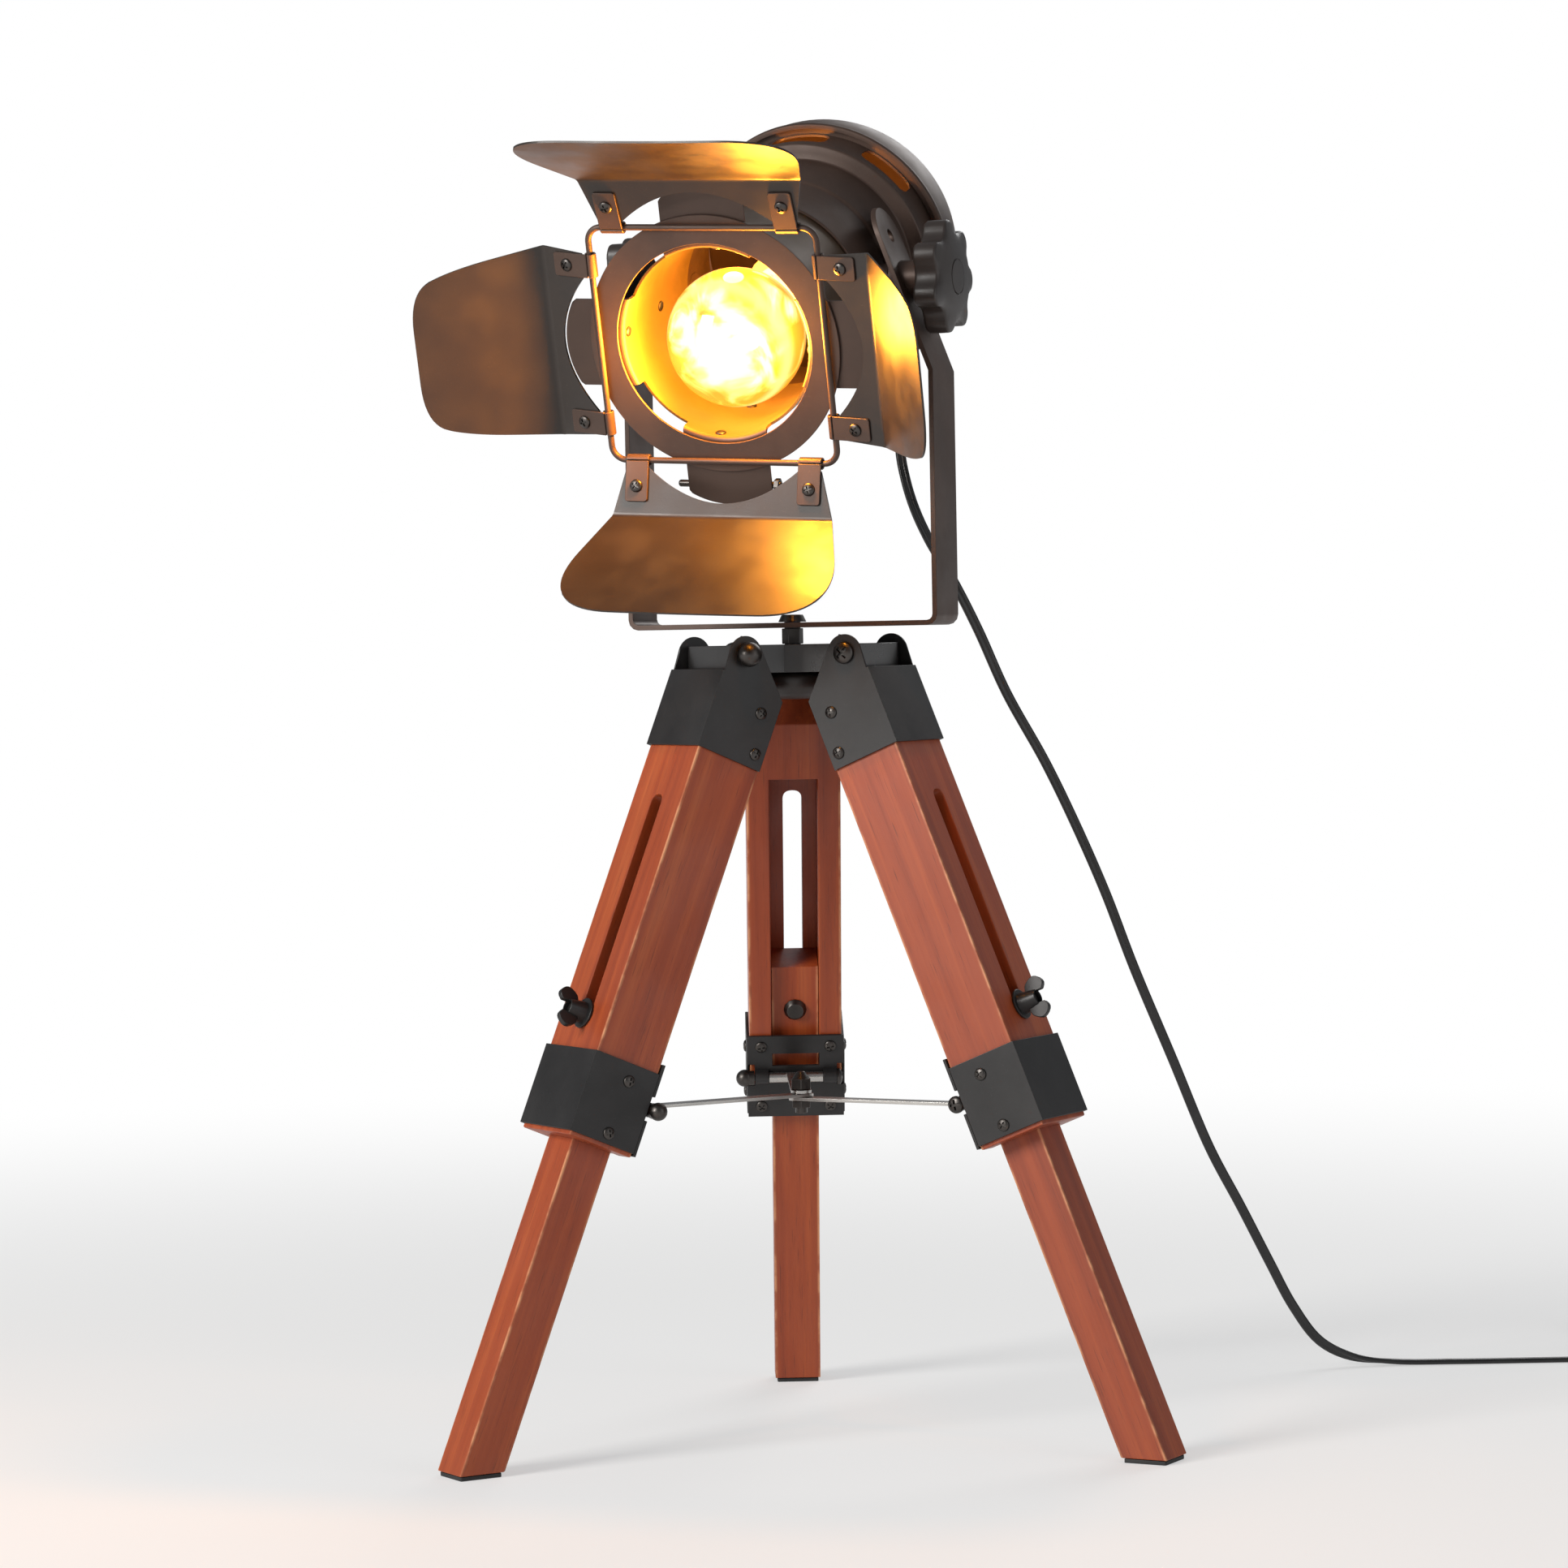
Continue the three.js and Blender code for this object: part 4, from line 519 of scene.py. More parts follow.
def carved(mesh, *cutters):
    base = linked("carve_base", mesh)
    tools = []
    for cutter in cutters:
        tools.append(linked("carve_tool", mesh_of("carve_tool", cutter)))
        change = base.modifiers.new("cut", "BOOLEAN")
        change.operation = "DIFFERENCE"
        change.solver = "EXACT"
        change.object = tools[-1]
    result = evaluated(base)
    for tool in tools:
        removed(tool)
    return result


def thick(mesh, wall):
    obj = linked("thick_base", mesh)
    change = obj.modifiers.new("wall", "SOLIDIFY")
    change.thickness = wall * MM
    change.offset = 0
    change.use_even_offset = True
    return evaluated(obj)


def shade(mesh, limit):
    """Smooth normals, weighted by area, between the faces that meet at less than the limit."""
    mesh.polygons.foreach_set("use_smooth", [True] * len(mesh.polygons))
    faces = [(face.normal.copy(), face.area, tuple(face.vertices)) for face in mesh.polygons]
    around = [[] for _ in mesh.vertices]
    for normal, area, corners in faces:
        for vertex in corners:
            around[vertex].append((normal, normal * area))
    least = math.cos(math.radians(limit))
    normals = []
    for normal, _, corners in faces:
        for vertex in corners:
            near = (share for other, share in around[vertex] if normal.dot(other) > least)
            normals.append(sum(near, Vector((0, 0, 0))).normalized())
    mesh.normals_split_custom_set(normals)


def finished(name, mesh, matrix, body, look, nodes=(), bevel=0.0, segments=2, limit=35, smooth=40):
    """The piece itself: edges over the limit bevelled, shaded, placed, and riding on its body."""
    if bevel:
        bm = bmesh.new()
        bm.from_mesh(mesh)
        edges = [e for e in bm.edges if len(e.link_faces) == 2 and e.is_convex
                 and e.calc_face_angle() > math.radians(limit)]
        bmesh.ops.bevel(bm, geom=edges, offset=bevel * MM, segments=segments, affect="EDGES", profile=0.5,
                        clamp_overlap=True)
        bm.to_mesh(mesh)
        bm.free()
    shade(mesh, smooth)
    obj = linked(name, mesh)
    obj.matrix_world = matrix
    mesh.materials.clear()
    mesh.materials.append(LOOKS[look])
    bpy.context.view_layer.update()
    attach(obj, body)
    if nodes:
        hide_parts(*nodes)
    return obj


def made(name, part, matrix, body, look, **values):
    """A piece from points and faces."""
    return finished(name, mesh_of(name, part), matrix, body, look, **values)


def skin(node, part, matrix, body, look, **values):
    """A piece from points and faces, or from a mesh, that replaces one node."""
    mesh = part if isinstance(part, bpy.types.Mesh) else mesh_of(node, part)
    return finished(node + "_skin", mesh, matrix, body, look, nodes=(node,), **values)


def dressed(node, matrix, body, look, **values):
    """A piece from a node's own mesh, which it replaces."""
    return skin(node, node_mesh(node, matrix), matrix, body, look, **values)


# Cord: flat twin lead, hanging, then on the floor, coiled, through the switch and on to the plug

CORD_WIDTH, FIT_GAP = 5.2, 0.3
CORD_ROUTE = [
    (49.5, 122.5, 527.1), (52.4, 129.7, 523.1), (54.8, 135.4, 515.8), (56.1, 137.7, 506.6),
    (56.7, 136.7, 497.0), (58.2, 132.9, 481.0), (63.0, 128.5, 461.0), (70.5, 127.0, 443.0),
    (84.0, 128.5, 419.0), (95.8, 132.0, 395.0), (110.2, 138.0, 362.0), (130.0, 144.0, 325.5),
    (145.3, 149.0, 293.0), (160.5, 153.5, 257.0), (175.2, 158.0, 217.0), (195.2, 165.0, 167.8),
    (214.5, 172.0, 120.0), (231.0, 178.0, 88.0), (246.0, 184.5, 58.0), (259.0, 189.0, 33.0),
    (273.0, 192.0, 14.5), (290.0, 193.5, 6.0), (312.0, 194.0, 3.3), (345.0, 194.0, 2.7),
    (390.0, 194.0, 2.6), (430.0, 194.0, 2.6),
]
COIL_X, FLOOR_Y, COIL_INNER, COIL_PITCH = 463.0, 194.0, 21.0, 5.9
# turns in each of the coil's two layers, its last part of a turn, and points a turn
COIL_LAYER, COIL_END, TURN_STEPS = 2.5, 0.25, 60
COIL_Y = FLOOR_Y + COIL_INNER + COIL_PITCH * COIL_LAYER
# heights of the lead on the floor, in the upper layer of the coil and in the switch
FLAT_Z, UPPER_Z, SWITCH_Z = 1.4, 4.35, 8.5
SWITCH_LEAD, LEAD_STEPS, SWITCH_LENGTH, SWITCH_STEPS = 36, 12, 58.0, 15
TAIL_STRAIGHT, TAIL_RADIUS, TAIL_BACK = 22.0, 27.0, 12.0
# along x, where the lead sinks to the floor's height and where it turns flat
SINK_FROM, SINK_TO, FLAT_FROM, FLAT_TO = 246, 312, 262, 318
# numbers of the points between which the lead turns as it leaves the lamp, and of the last that hangs
EXIT_FROM, EXIT_TO, LAST_HANGING = 2, 12, 260
QUARTER_SECTION = [(2.6, 0.0), (2.5, 0.55), (2.2, 1.0), (1.75, 1.28), (1.25, 1.35), (0.8, 1.26),
                   (0.42, 1.08), (0.0, 0.95)]
BOOT_ROOT, BOOT_TIP, BOOT_DOWN = 98.1, 130.1, math.radians(36)
BOOT_DIRECTION = Vector((0, math.cos(BOOT_DOWN), -math.sin(BOOT_DOWN)))


def smoothstep(value, lo, hi):
    t = min(max((value - lo) / (hi - lo), 0), 1)
    return t * t * (3 - 2 * t)


def curve_through(points, spacing):
    """Centripetal Catmull-Rom line through the points, about spacing millimetres a step."""
    result = []
    for i in range(len(points) - 1):
        p1, p2 = points[i], points[i + 1]
        p0 = points[i - 1] if i else p1 * 2 - p2
        p3 = points[i + 2] if i + 2 < len(points) else p2 * 2 - p1
        d0, d1, d2 = (max((b - a).length ** 0.5, 1e-4) for a, b in ((p0, p1), (p1, p2), (p2, p3)))
        t1 = ((p1 - p0) / d0 - (p2 - p0) / (d0 + d1) + (p2 - p1) / d1) * d1
        t2 = ((p2 - p1) / d1 - (p3 - p1) / (d1 + d2) + (p3 - p2) / d2) * d1
        steps = max(2, round((p2 - p1).length / spacing))
        for k in range(steps):
            t = k / steps
            result.append(p1 + t1 * t + (p2 * 3 - p1 * 3 - t1 * 2 - t2) * t * t
                          + (p1 * 2 - p2 * 2 + t1 + t2) * t * t * t)
    result.append(points[-1].copy())
    return result


def boot_point(distance):
    """A point along the strain relief's line, in the frame of the upright axis, millimetres."""
    world = HEAD @ (BOOT_DIRECTION * distance * MM)
    return (AXIS.inverted() @ world) / MM


def coil_points():
    """Outer to inner in the lower layer, then inner to outer in the upper one."""
    points = []
    for i in range(round((COIL_LAYER * 2 + COIL_END) * TURN_STEPS) + 1):
        turn = i / TURN_STEPS
        angle = -math.pi / 2 + turn * 2 * math.pi
        radius = COIL_INNER + COIL_PITCH * abs(turn - COIL_LAYER)
        climb = smoothstep(turn, COIL_LAYER - 0.3, COIL_LAYER + 0.3)
        points.append(Vector((COIL_X + radius * math.cos(angle), COIL_Y + radius * math.sin(angle),
                              FLAT_Z + (UPPER_Z - FLAT_Z) * climb)))
    return points


def tail_points(x, y):
    """From the switch down to the floor, round a half circle, and up again into the plug."""
    middle_x = x - TAIL_RADIUS
    route = [(x, y)] + arc((middle_x, y + TAIL_STRAIGHT), (TAIL_RADIUS, TAIL_RADIUS), 0, 180, 8)
    route.append((middle_x - TAIL_RADIUS, y + TAIL_BACK))
    curve = curve_through([Vector((u, v, SWITCH_Z)) for u, v in route], 3.0)
    run = [0.0]
    for a, b in zip(curve, curve[1:]):
        run.append(run[-1] + (b - a).length)
    for point, distance in zip(curve, run):
        share = distance / run[-1]
        lowered = smoothstep(share, 0.02, 0.36) * (1 - smoothstep(share, 0.66, 0.98))
        point.z -= (SWITCH_Z - FLAT_Z) * lowered
    return curve[1:]


def cord_line():
    route = [boot_point(BOOT_TIP - 6)] + [Vector(p) for p in CORD_ROUTE]
    for p in route:
        p.z -= (CORD_WIDTH / 2 - FLAT_Z) * smoothstep(p.x, SINK_FROM, SINK_TO)
    route.append(Vector((COIL_X - CORD_WIDTH - FIT_GAP, FLOOR_Y, FLAT_Z)))
    line = curve_through(route, 4.0)
    line.append(Vector((COIL_X - CORD_WIDTH / 2, FLOOR_Y, FLAT_Z)))
    line += coil_points()
    x, y, z = line[-1]
    for k in range(1, LEAD_STEPS + 1):
        t = k / LEAD_STEPS
        line.append(Vector((x, y + SWITCH_LEAD * t, z + (SWITCH_Z - z) * smoothstep(t, 0, 1))))
    through = SWITCH_LENGTH + 2 * FIT_GAP
    for k in range(1, SWITCH_STEPS + 1):
        line.append(Vector((x, y + SWITCH_LEAD + through * k / SWITCH_STEPS, SWITCH_Z)))
    return line + tail_points(x, y + SWITCH_LEAD + through)


def cord_across(line):
    """Across direction of the flat lead: broad side to the front while it hangs, flat on the floor."""
    up, back = Vector((0, 0, 1)), Vector((0, 1, 0))

    def across(i, forward):
        share = 1 - smoothstep(line[i].x, FLAT_FROM, FLAT_TO) if i < LAST_HANGING else 0
        share *= smoothstep(i, EXIT_FROM, EXIT_TO)
        return forward.cross(back) * share + forward.cross(up) * (1 - share)

    return across


top_half = QUARTER_SECTION + [(-a, b) for a, b in reversed(QUARTER_SECTION[:-1])]
lead_section = top_half + [(a, -b) for a, b in reversed(top_half[1:-1])]
line = cord_line()
cord = made("mains_cord", sweep(line, lead_section, cord_across(line)), AXIS, "stand", "cord_pvc",
            nodes=("cord", "cord_coil", "cord_tail"), smooth=60)
switch = dressed("cord_switch", AXIS, "stand", "plug_plastic", bevel=1.6, segments=4)
switch_rocker = dressed("switch_rocker", AXIS, "rocker", "plug_plastic", bevel=0.5)
plug = dressed("plug", AXIS, "stand", "plug_plastic", bevel=0.9, segments=3)

# Screws: a round head with a cross recess, about the local z axis

HEAD_SUNK, HEAD_RIM = 0.3, 0.25
# length and width of the recess against the head's radius, and its floor against the head's height
RECESS_LONG, RECESS_WIDE, RECESS_FLOOR = 0.62, 0.15, 0.42


def screw_head(radius, height, recess=True):
    profile = [(0, -HEAD_SUNK), (radius, -HEAD_SUNK)]
    profile += arc((0, height * HEAD_RIM), (radius, height * (1 - HEAD_RIM)), 0, 90, 6)
    mesh = mesh_of("screw", lathe(profile, 32, "z"))
    if recess:
        long, wide = radius * RECESS_LONG, radius * RECESS_WIDE
        span = (height * RECESS_FLOOR, height * 2)
        mesh = carved(mesh, box(-long, long, -wide, wide, *span), box(-wide, wide, -long, long, *span))
    return part_of(mesh)


SIDE_SCREW = screw_head(3.0, 1.5)
CLIP_SCREW = screw_head(3.1, 1.6)
PIVOT_SCREW = screw_head(5.3, 3.0)
PIN_SCREW = screw_head(4.2, 2.4)
RIVET = screw_head(2.6, 1.2, recess=False)


def screws_at(head, places):
    """Copies of a head at (point, outward direction, turn in degrees)."""
    return joined(*(shifted(head, at(*point) @ turned_to(outward) @ rot("Z", turn))
                    for point, outward, turn in places))


def dome_nut(radius, length):
    """A skirt and a ball end along z from zero."""
    middle, skirt = length - radius * 0.7, radius * 0.86
    profile = [(0, 0), (skirt, 0), (skirt, middle - radius * 0.5)]
    return lathe(profile + arc((0, middle), (radius, radius), -30, 90, 16), 40, "z")


def cross_pin(head, shaft, nut, nut_length, face, turn, u=0, v=0):
    """Shaft along y with a dome nut on its + side and a cross-recess head on its - side."""
    seat = face + FIT_GAP
    rod = cylinder(shaft, -seat - 0.6, seat + 2, 24, u=u, v=v)
    nut_part = shifted(dome_nut(nut, nut_length), at(u, seat, v) @ rot("X", -90))
    return joined(rod, nut_part, screws_at(head, [((u, -seat - 0.05, v), (0, -1, 0), turn)]))


# Tripod

SIDE_FACE, PIN_FACE, PIN_X, PIN_Z = 25.0, 21.0, -32.3, -221
# bracket screws: places across the leg and down it on the sides, then on the inner face
SIDE_PLACES = ((-18, 23.5), (-22, 43), (-12.7, 212.5), (-11, 239))
INNER_FACE, INNER_HALF, INNER_DEPTHS = -29.3, 17.6, (205, 239)
HUB_KNOB_RADIUS, HUB_KNOB_HEIGHT, HUB_KNOB_BASE = 19.3, 13.0, 362.7


def bracket_screws(n):
    places = []
    for side in (-1, 1):
        for k, (across, down) in enumerate(SIDE_PLACES):
            turn = 17 * k + 29 * n + side * 8
            places.append(((across, side * SIDE_FACE, -down), (0, side, 0), turn))
        for k, down in enumerate(INNER_DEPTHS):
            places.append(((INNER_FACE, side * INNER_HALF, -down), (-1, 0, 0), 40 * k + 13 * n))
    return screws_at(SIDE_SCREW, places)


def hub_knob():
    r, h = HUB_KNOB_RADIUS, HUB_KNOB_HEIGHT
    outline = [(0, 0), (r * 0.5, 0, 2), (r * 0.72, h * 0.12, 2), (r, h * 0.52, 3), (r, h * 0.88, 1.5),
               (r * 0.9, h, 1), (0, h)]
    return lathe(rounded(outline, 5), 72, "z")


for n in LEGS:
    leg, foot = f"leg_{n}", f"foot_{n}"
    dressed(f"outer_leg_{n}", LEG[n], leg, f"stained_wood_outer_{n}", bevel=0.7)
    dressed(f"inner_leg_{n}", LEG[n], foot, f"stained_wood_inner_{n}", bevel=0.7)
    for plate in ("top_bracket", "lower_bracket", "inner_plate"):
        dressed(f"{plate}_{n}", LEG[n], leg, "black_bracket", bevel=0.3)
    pivot = cross_pin(PIVOT_SCREW, shaft=2.5, nut=6.0, nut_length=7.0, face=SIDE_FACE, turn=20 + 31 * n)
    skin(f"pivot_screw_{n}", pivot, LEG[n], leg, "dark_screw")
    pin = cross_pin(PIN_SCREW, shaft=1.7, nut=4.4, nut_length=8.0, face=PIN_FACE, turn=12 + 23 * n,
                    u=PIN_X, v=PIN_Z)
    skin(f"spreader_pin_{n}", pin, LEG[n], leg, "dark_screw")
    made(f"bracket_screws_{n}", bracket_screws(n), LEG[n], leg, "dark_screw")
    dressed(f"leg_bolt_{n}", LEG[n], foot, "dark_screw", bevel=0.3)
    dressed(f"wing_nut_{n}", LEG[n], f"wing_{n}", "black_bracket", bevel=0.6, segments=3)
    dressed(f"foot_pad_{n}", RAY[n], foot, "foot_rubber", bevel=0.3)
    dressed(f"spreader_arm_{n}", RAY[n], f"arm_{n}", "bright_steel", bevel=0.25)

dressed("spreader_cap_nut", AXIS, "arm_1", "dark_screw", bevel=0.5, segments=3)
dressed("spreader_bolt", AXIS, "arm_3", "dark_screw", bevel=0.3)
dressed("hub", AXIS, "stand", "hub_black", bevel=1.3, segments=3)
skin("hub_clamp_knob", hub_knob(), AXIS @ at(0, 0, HUB_KNOB_BASE), "hub_knob", "knob_plastic")

# Yoke, pan bolt and star knobs

KNOB_LOBES, KNOB_RADIUS, KNOB_DEPTH, KNOB_PLACE = 7, 24.6, 2.8, 72.3
KNOB_REAR, KNOB_EDGE, KNOB_CROWN, CROWN_RADIUS = 2.4, 15.0, 2.4, 23.5
KNOB_DISC, GROOVE_DEPTH, DISC_RISE = 8.9, 0.45, 0.3
COLLAR_RADIUS, SHAFT_RADIUS, SHAFT_TIP = 9, 3, -21.8

dressed("yoke", YOKE, "yoke", "bronze_paint", bevel=0.45, limit=45)
dressed("pan_bolt", YOKE, "yoke", "dark_screw", bevel=0.35)


def star_knob():
    """Knob along x from its seat: wide lobes with narrower flutes, and a disc in its domed face."""
    count = KNOB_LOBES * 18

    def ring(height, size, flutes=0.0):
        points = []
        for k in range(count):
            t = 2 * math.pi * k / count
            wave = math.cos(KNOB_LOBES * t)
            shaped = math.copysign(abs(wave) ** 0.75, wave) + 0.12
            reach = size + KNOB_DEPTH * flutes * shaped
            points.append((height, reach * math.cos(t), reach * math.sin(t)))
        return points

    def crown(size):
        return KNOB_EDGE + KNOB_CROWN * (1 - (size / CROWN_RADIUS) ** 2)

    # height, inset from the radius and share of the flutes' depth
    sides = ((KNOB_REAR, 3.2, 0.6), (KNOB_REAR + 0.7, 1.1, 1), (KNOB_REAR + 2.0, 0.1, 1), (9.0, 0, 1),
             (KNOB_EDGE - 1.4, 0.05, 1), (KNOB_EDGE - 0.5, 0.35, 1), (KNOB_EDGE, 1.2, 0.95))
    # radius and rise against the crown at the disc's edge, through the groove and onto the disc
    disc = ((8.6, -GROOVE_DEPTH), (8.3, -GROOVE_DEPTH), (8.15, 0.12), (4.0, DISC_RISE))
    rings = [ring(height, KNOB_RADIUS - inset, flutes) for height, inset, flutes in sides]
    rings += [ring(crown(size), size) for size in (20.0, 17.0, 14.0, 11.0, KNOB_DISC)]
    rings += [ring(crown(KNOB_DISC) + rise, size) for size, rise in disc]
    verts = [v for points in rings for v in points]
    faces = [tuple(range(count)), tuple(range(len(verts) - count, len(verts)))]
    for i in range(len(rings) - 1):
        faces += band(i * count, (i + 1) * count, count)
    collar = cylinder(COLLAR_RADIUS, 0, KNOB_REAR + 1, 48, "x")
    return joined((verts, faces), collar, cylinder(SHAFT_RADIUS, SHAFT_TIP, 1, 24, "x"))


for turn, name in ((0, "right"), (180, "left")):
    place = TILT @ rot("Z", turn) @ at(KNOB_PLACE, 0, 0)
    skin(f"tilt_knob_{name}", star_knob(), place, f"knob_{name}", "knob_plastic", smooth=50)

# Head: stepped housing with vents, back cap, strain relief

# front radius, rear radius and rear end of each tier
TIERS = ((49.1, 50.2, 6.0), (51.4, 54.1, 32.0), (61.5, 61.5, 54.0))
# share of the rise to the next tier, and place after the tier's end
STEP = ((0.02, 0), (0.12, 0.6), (0.48, 1.3), (0.85, 2.1), (0.96, 2.7), (1, 3.6))
HOUSING_FRONT, FLANGE_RADIUS, FLANGE_WIDTH, WALL = -24.0, 64.5, 1.5, 1.2
VENTS, VENT_PLACE, VENT_HALF_ANGLE, VENT_HALF, VENT_CORNER = 8, 45.65, 13.5, 6.25, 5
TRUNNION_BORE, TRUNNION_RADIUS, TRUNNION_ROOT, TRUNNION_TIP = 3.4, 8, 47.6, 56.2
CAP_RADIUS, CAP_REACH, CAP_FRONT, CAP_BASE = 66.0, 63, 50.0, 56
# the lip's radius over the cap's, and its place after the cap's front
CAP_LIP = ((0, 0), (0.9, 0.2), (1.4, 1.0), (1.4, 2.4), (0.8, 3.2), (0.1, 3.8), (0, 4.6))
BOOT_TURN = turned_to(BOOT_DIRECTION, start=(0, 1, 0))
BOOT_HOLE, BOOT_RIBS, RIB_PITCH, RIB_DEPTH, BOOT_TAPER = 5.9, 7, 3.9, 0.75, 1 / 14


def housing_part():
    steps = [(small, end, large) for (_, small, end), (large, _, _) in zip(TIERS, TIERS[1:])]
    first, (_, last, rear) = TIERS[0][0], TIERS[-1]
    flange = rear - FLANGE_WIDTH
    outer = [(first - 0.4, HOUSING_FRONT), (first, HOUSING_FRONT + 0.5)]
    for small, end, large in steps:
        outer.append((small - 0.06, end - 0.8))
        outer += [(small + (large - small) * share, end + after) for share, after in STEP]
    outer += [(last, flange - 0.4), (last, flange), (FLANGE_RADIUS, flange), (FLANGE_RADIUS, rear)]
    inner = [(last - WALL, rear), (last - WALL, rear - 3)]
    for small, end, large in reversed(steps):
        inner += [(large - WALL, end + 3.0), (small - WALL, end + 0.8)]
    inner.append((first - WALL, HOUSING_FRONT))
    return lathe(outer + inner, 120, closed=True)


def vent_cutter(i):
    half = TIERS[-1][0] * math.sin(math.radians(VENT_HALF_ANGLE))
    corners = [(u * half, v * VENT_HALF, VENT_CORNER) for u, v in ((-1, -1), (1, -1), (1, 1), (-1, 1))]
    slot = prism(rounded(corners), "z", 50, 75)
    return shifted(slot, rot("Y", 90 - i * 360 / VENTS) @ at(0, VENT_PLACE, 0))


def trunnions():
    bore, radius, root, tip = TRUNNION_BORE, TRUNNION_RADIUS, TRUNNION_ROOT, TRUNNION_TIP
    profile = [(bore, root), (radius, root), (radius, tip - 0.6), (radius - 0.6, tip), (bore, tip)]
    right = lathe(profile, 40, "x", closed=True)
    return joined(right, ([(-x, y, z) for x, y, z in right[0]], right[1]))


def back_cap_part():
    outer = [(CAP_RADIUS + over, CAP_FRONT + after) for over, after in CAP_LIP]
    outer += arc((0, CAP_BASE), (CAP_RADIUS, CAP_REACH), 0, 90, 32)
    inner = arc((0, CAP_BASE), (CAP_RADIUS - WALL, CAP_REACH - WALL), 90, 0, 32)
    inner.append((CAP_RADIUS - WALL, CAP_FRONT))
    return lathe(outer + inner, 120, closed=True)


def strain_relief_part():
    profile = [(0, BOOT_ROOT - 1.4), (5.6, BOOT_ROOT - 1.4), (5.6, BOOT_ROOT + 1)]
    for k in range(BOOT_RIBS):
        base = BOOT_ROOT + 4 + k * RIB_PITCH
        size = 5.4 - k * RIB_PITCH * BOOT_TAPER
        groove = size - RIB_DEPTH
        profile += [(size, base - 1.4), (size, base), (groove, base + 0.5), (groove, base + 1.9)]
    profile += [(3.4, BOOT_TIP - 1.4), (3.3, BOOT_TIP - 0.4), (2.9, BOOT_TIP), (0, BOOT_TIP)]
    return shifted(lathe(profile, 48), BOOT_TURN)


vents = [vent_cutter(i) for i in range(VENTS)]
skin("housing", carved(mesh_of("housing", housing_part()), *vents), HEAD, "head", "bronze_paint")
made("housing_trunnions", trunnions(), HEAD, "head", "bronze_paint")
cord_hole = shifted(cylinder(BOOT_HOLE, 94, 130, 48), BOOT_TURN)
skin("back_cap", carved(mesh_of("back_cap", back_cap_part()), cord_hole), HEAD, "head", "bronze_paint")
skin("strain_relief", strain_relief_part(), HEAD, "head", "boot_rubber", smooth=30)

# Front: barrel with four straps and ears, rivets, screw, ring and wire frame

BARREL_RADIUS, BARREL_ROWS = 46.8, (-14, -15, -24, -34, -44, -54, -64, -74, -84, -89, -89.5)
STRAP_HALF, STRAP_STEPS, GAP_STEPS = 21.5, 32, 12
STRAP_ANGLE = math.degrees(math.asin(STRAP_HALF / 47.4))
EAR_PLANE, EAR_BEND, EAR_CORNER, EAR_CROWN = -95.9, 2.0, 2.0, 6
# how far the top, right, bottom and left ear reach from the barrel's axis
EAR_REACH = (76, 76, 80, 76)
RIVET_REACH, RIVET_TURN, RIVET_ROWS = 46.2, 5, (-91.5, -50)
EAR_SCREW, EAR_NUT_RADIUS = (-93.2, -71), 3.4
RING_INNER, RING_OUTER, RING_FRONT, RING_REAR, RING_CHAMFER = 49.0, 63.0, -98.0, -96.8, 0.2
WIRE_RADIUS, WIRE_CORNER = 1.5, 7


def ear_line(reach, tip):
    """(place, distance out) from the barrel's front edge round the bend to the ear's tip."""
    start = reach + EAR_BEND
    line = arc((EAR_PLANE + EAR_BEND, start), (EAR_BEND, EAR_BEND), -90, -180, 4)
    return line + [(EAR_PLANE, start + (tip - start) * share) for share in (0.25, 0.5, 0.75, 1)]


def barrel_part():
    radius, columns = BARREL_RADIUS, []
    for quarter in range(4):
        base, gap = quarter * 90, 90 - 2 * STRAP_ANGLE
        owns = [-STRAP_ANGLE + 2 * STRAP_ANGLE * k / STRAP_STEPS for k in range(STRAP_STEPS + 1)]
        columns += [(base + own, quarter, own) for own in owns]
        columns += [(base + STRAP_ANGLE + gap * k / GAP_STEPS, None, 0) for k in range(1, GAP_STEPS)]
    count = len(columns)
    angles = [math.radians(angle) for angle, _, _ in columns]
    verts = [(radius * math.sin(t), y, radius * math.cos(t)) for y in BARREL_ROWS for t in angles]
    faces = []
    for i in range(len(BARREL_ROWS) - 1):
        faces += band(i * count, (i + 1) * count, count)
    crown = (STRAP_HALF ** 2 + EAR_CROWN ** 2) / (2 * EAR_CROWN)
    last = {}
    for k, (_, quarter, own) in enumerate(columns):
        if quarter is None:
            continue
        t, turn = math.radians(own), math.radians(quarter * 90)
        across = max(-STRAP_HALF, min(STRAP_HALF, radius * math.sin(t)))
        corner = max(abs(across) - STRAP_HALF + EAR_CORNER, 0)
        tip = EAR_REACH[quarter] - crown + math.sqrt(max(crown ** 2 - across ** 2, 0))
        tip += math.sqrt(max(EAR_CORNER ** 2 - corner ** 2, 0)) - EAR_CORNER
        column = [(len(BARREL_ROWS) - 1) * count + k]
        for y, out in ear_line(radius * math.cos(t), tip):
            column.append(len(verts))
            verts.append((across * math.cos(turn) + out * math.sin(turn), y,
                          -across * math.sin(turn) + out * math.cos(turn)))
        left = last.get(quarter, [])
        faces += [(left[i], column[i], column[i + 1], left[i + 1]) for i in range(len(left) - 1)]
        last[quarter] = column
    return verts, faces


def rivets():
    places = []
    for quarter in range(4):
        inward = rot("Y", 90 * quarter + RIVET_TURN) @ Vector((0, 0, -1))
        places += [((-RIVET_REACH * inward.x, y, -RIVET_REACH * inward.z), inward, 0) for y in RIVET_ROWS]
    return screws_at(RIVET, places)


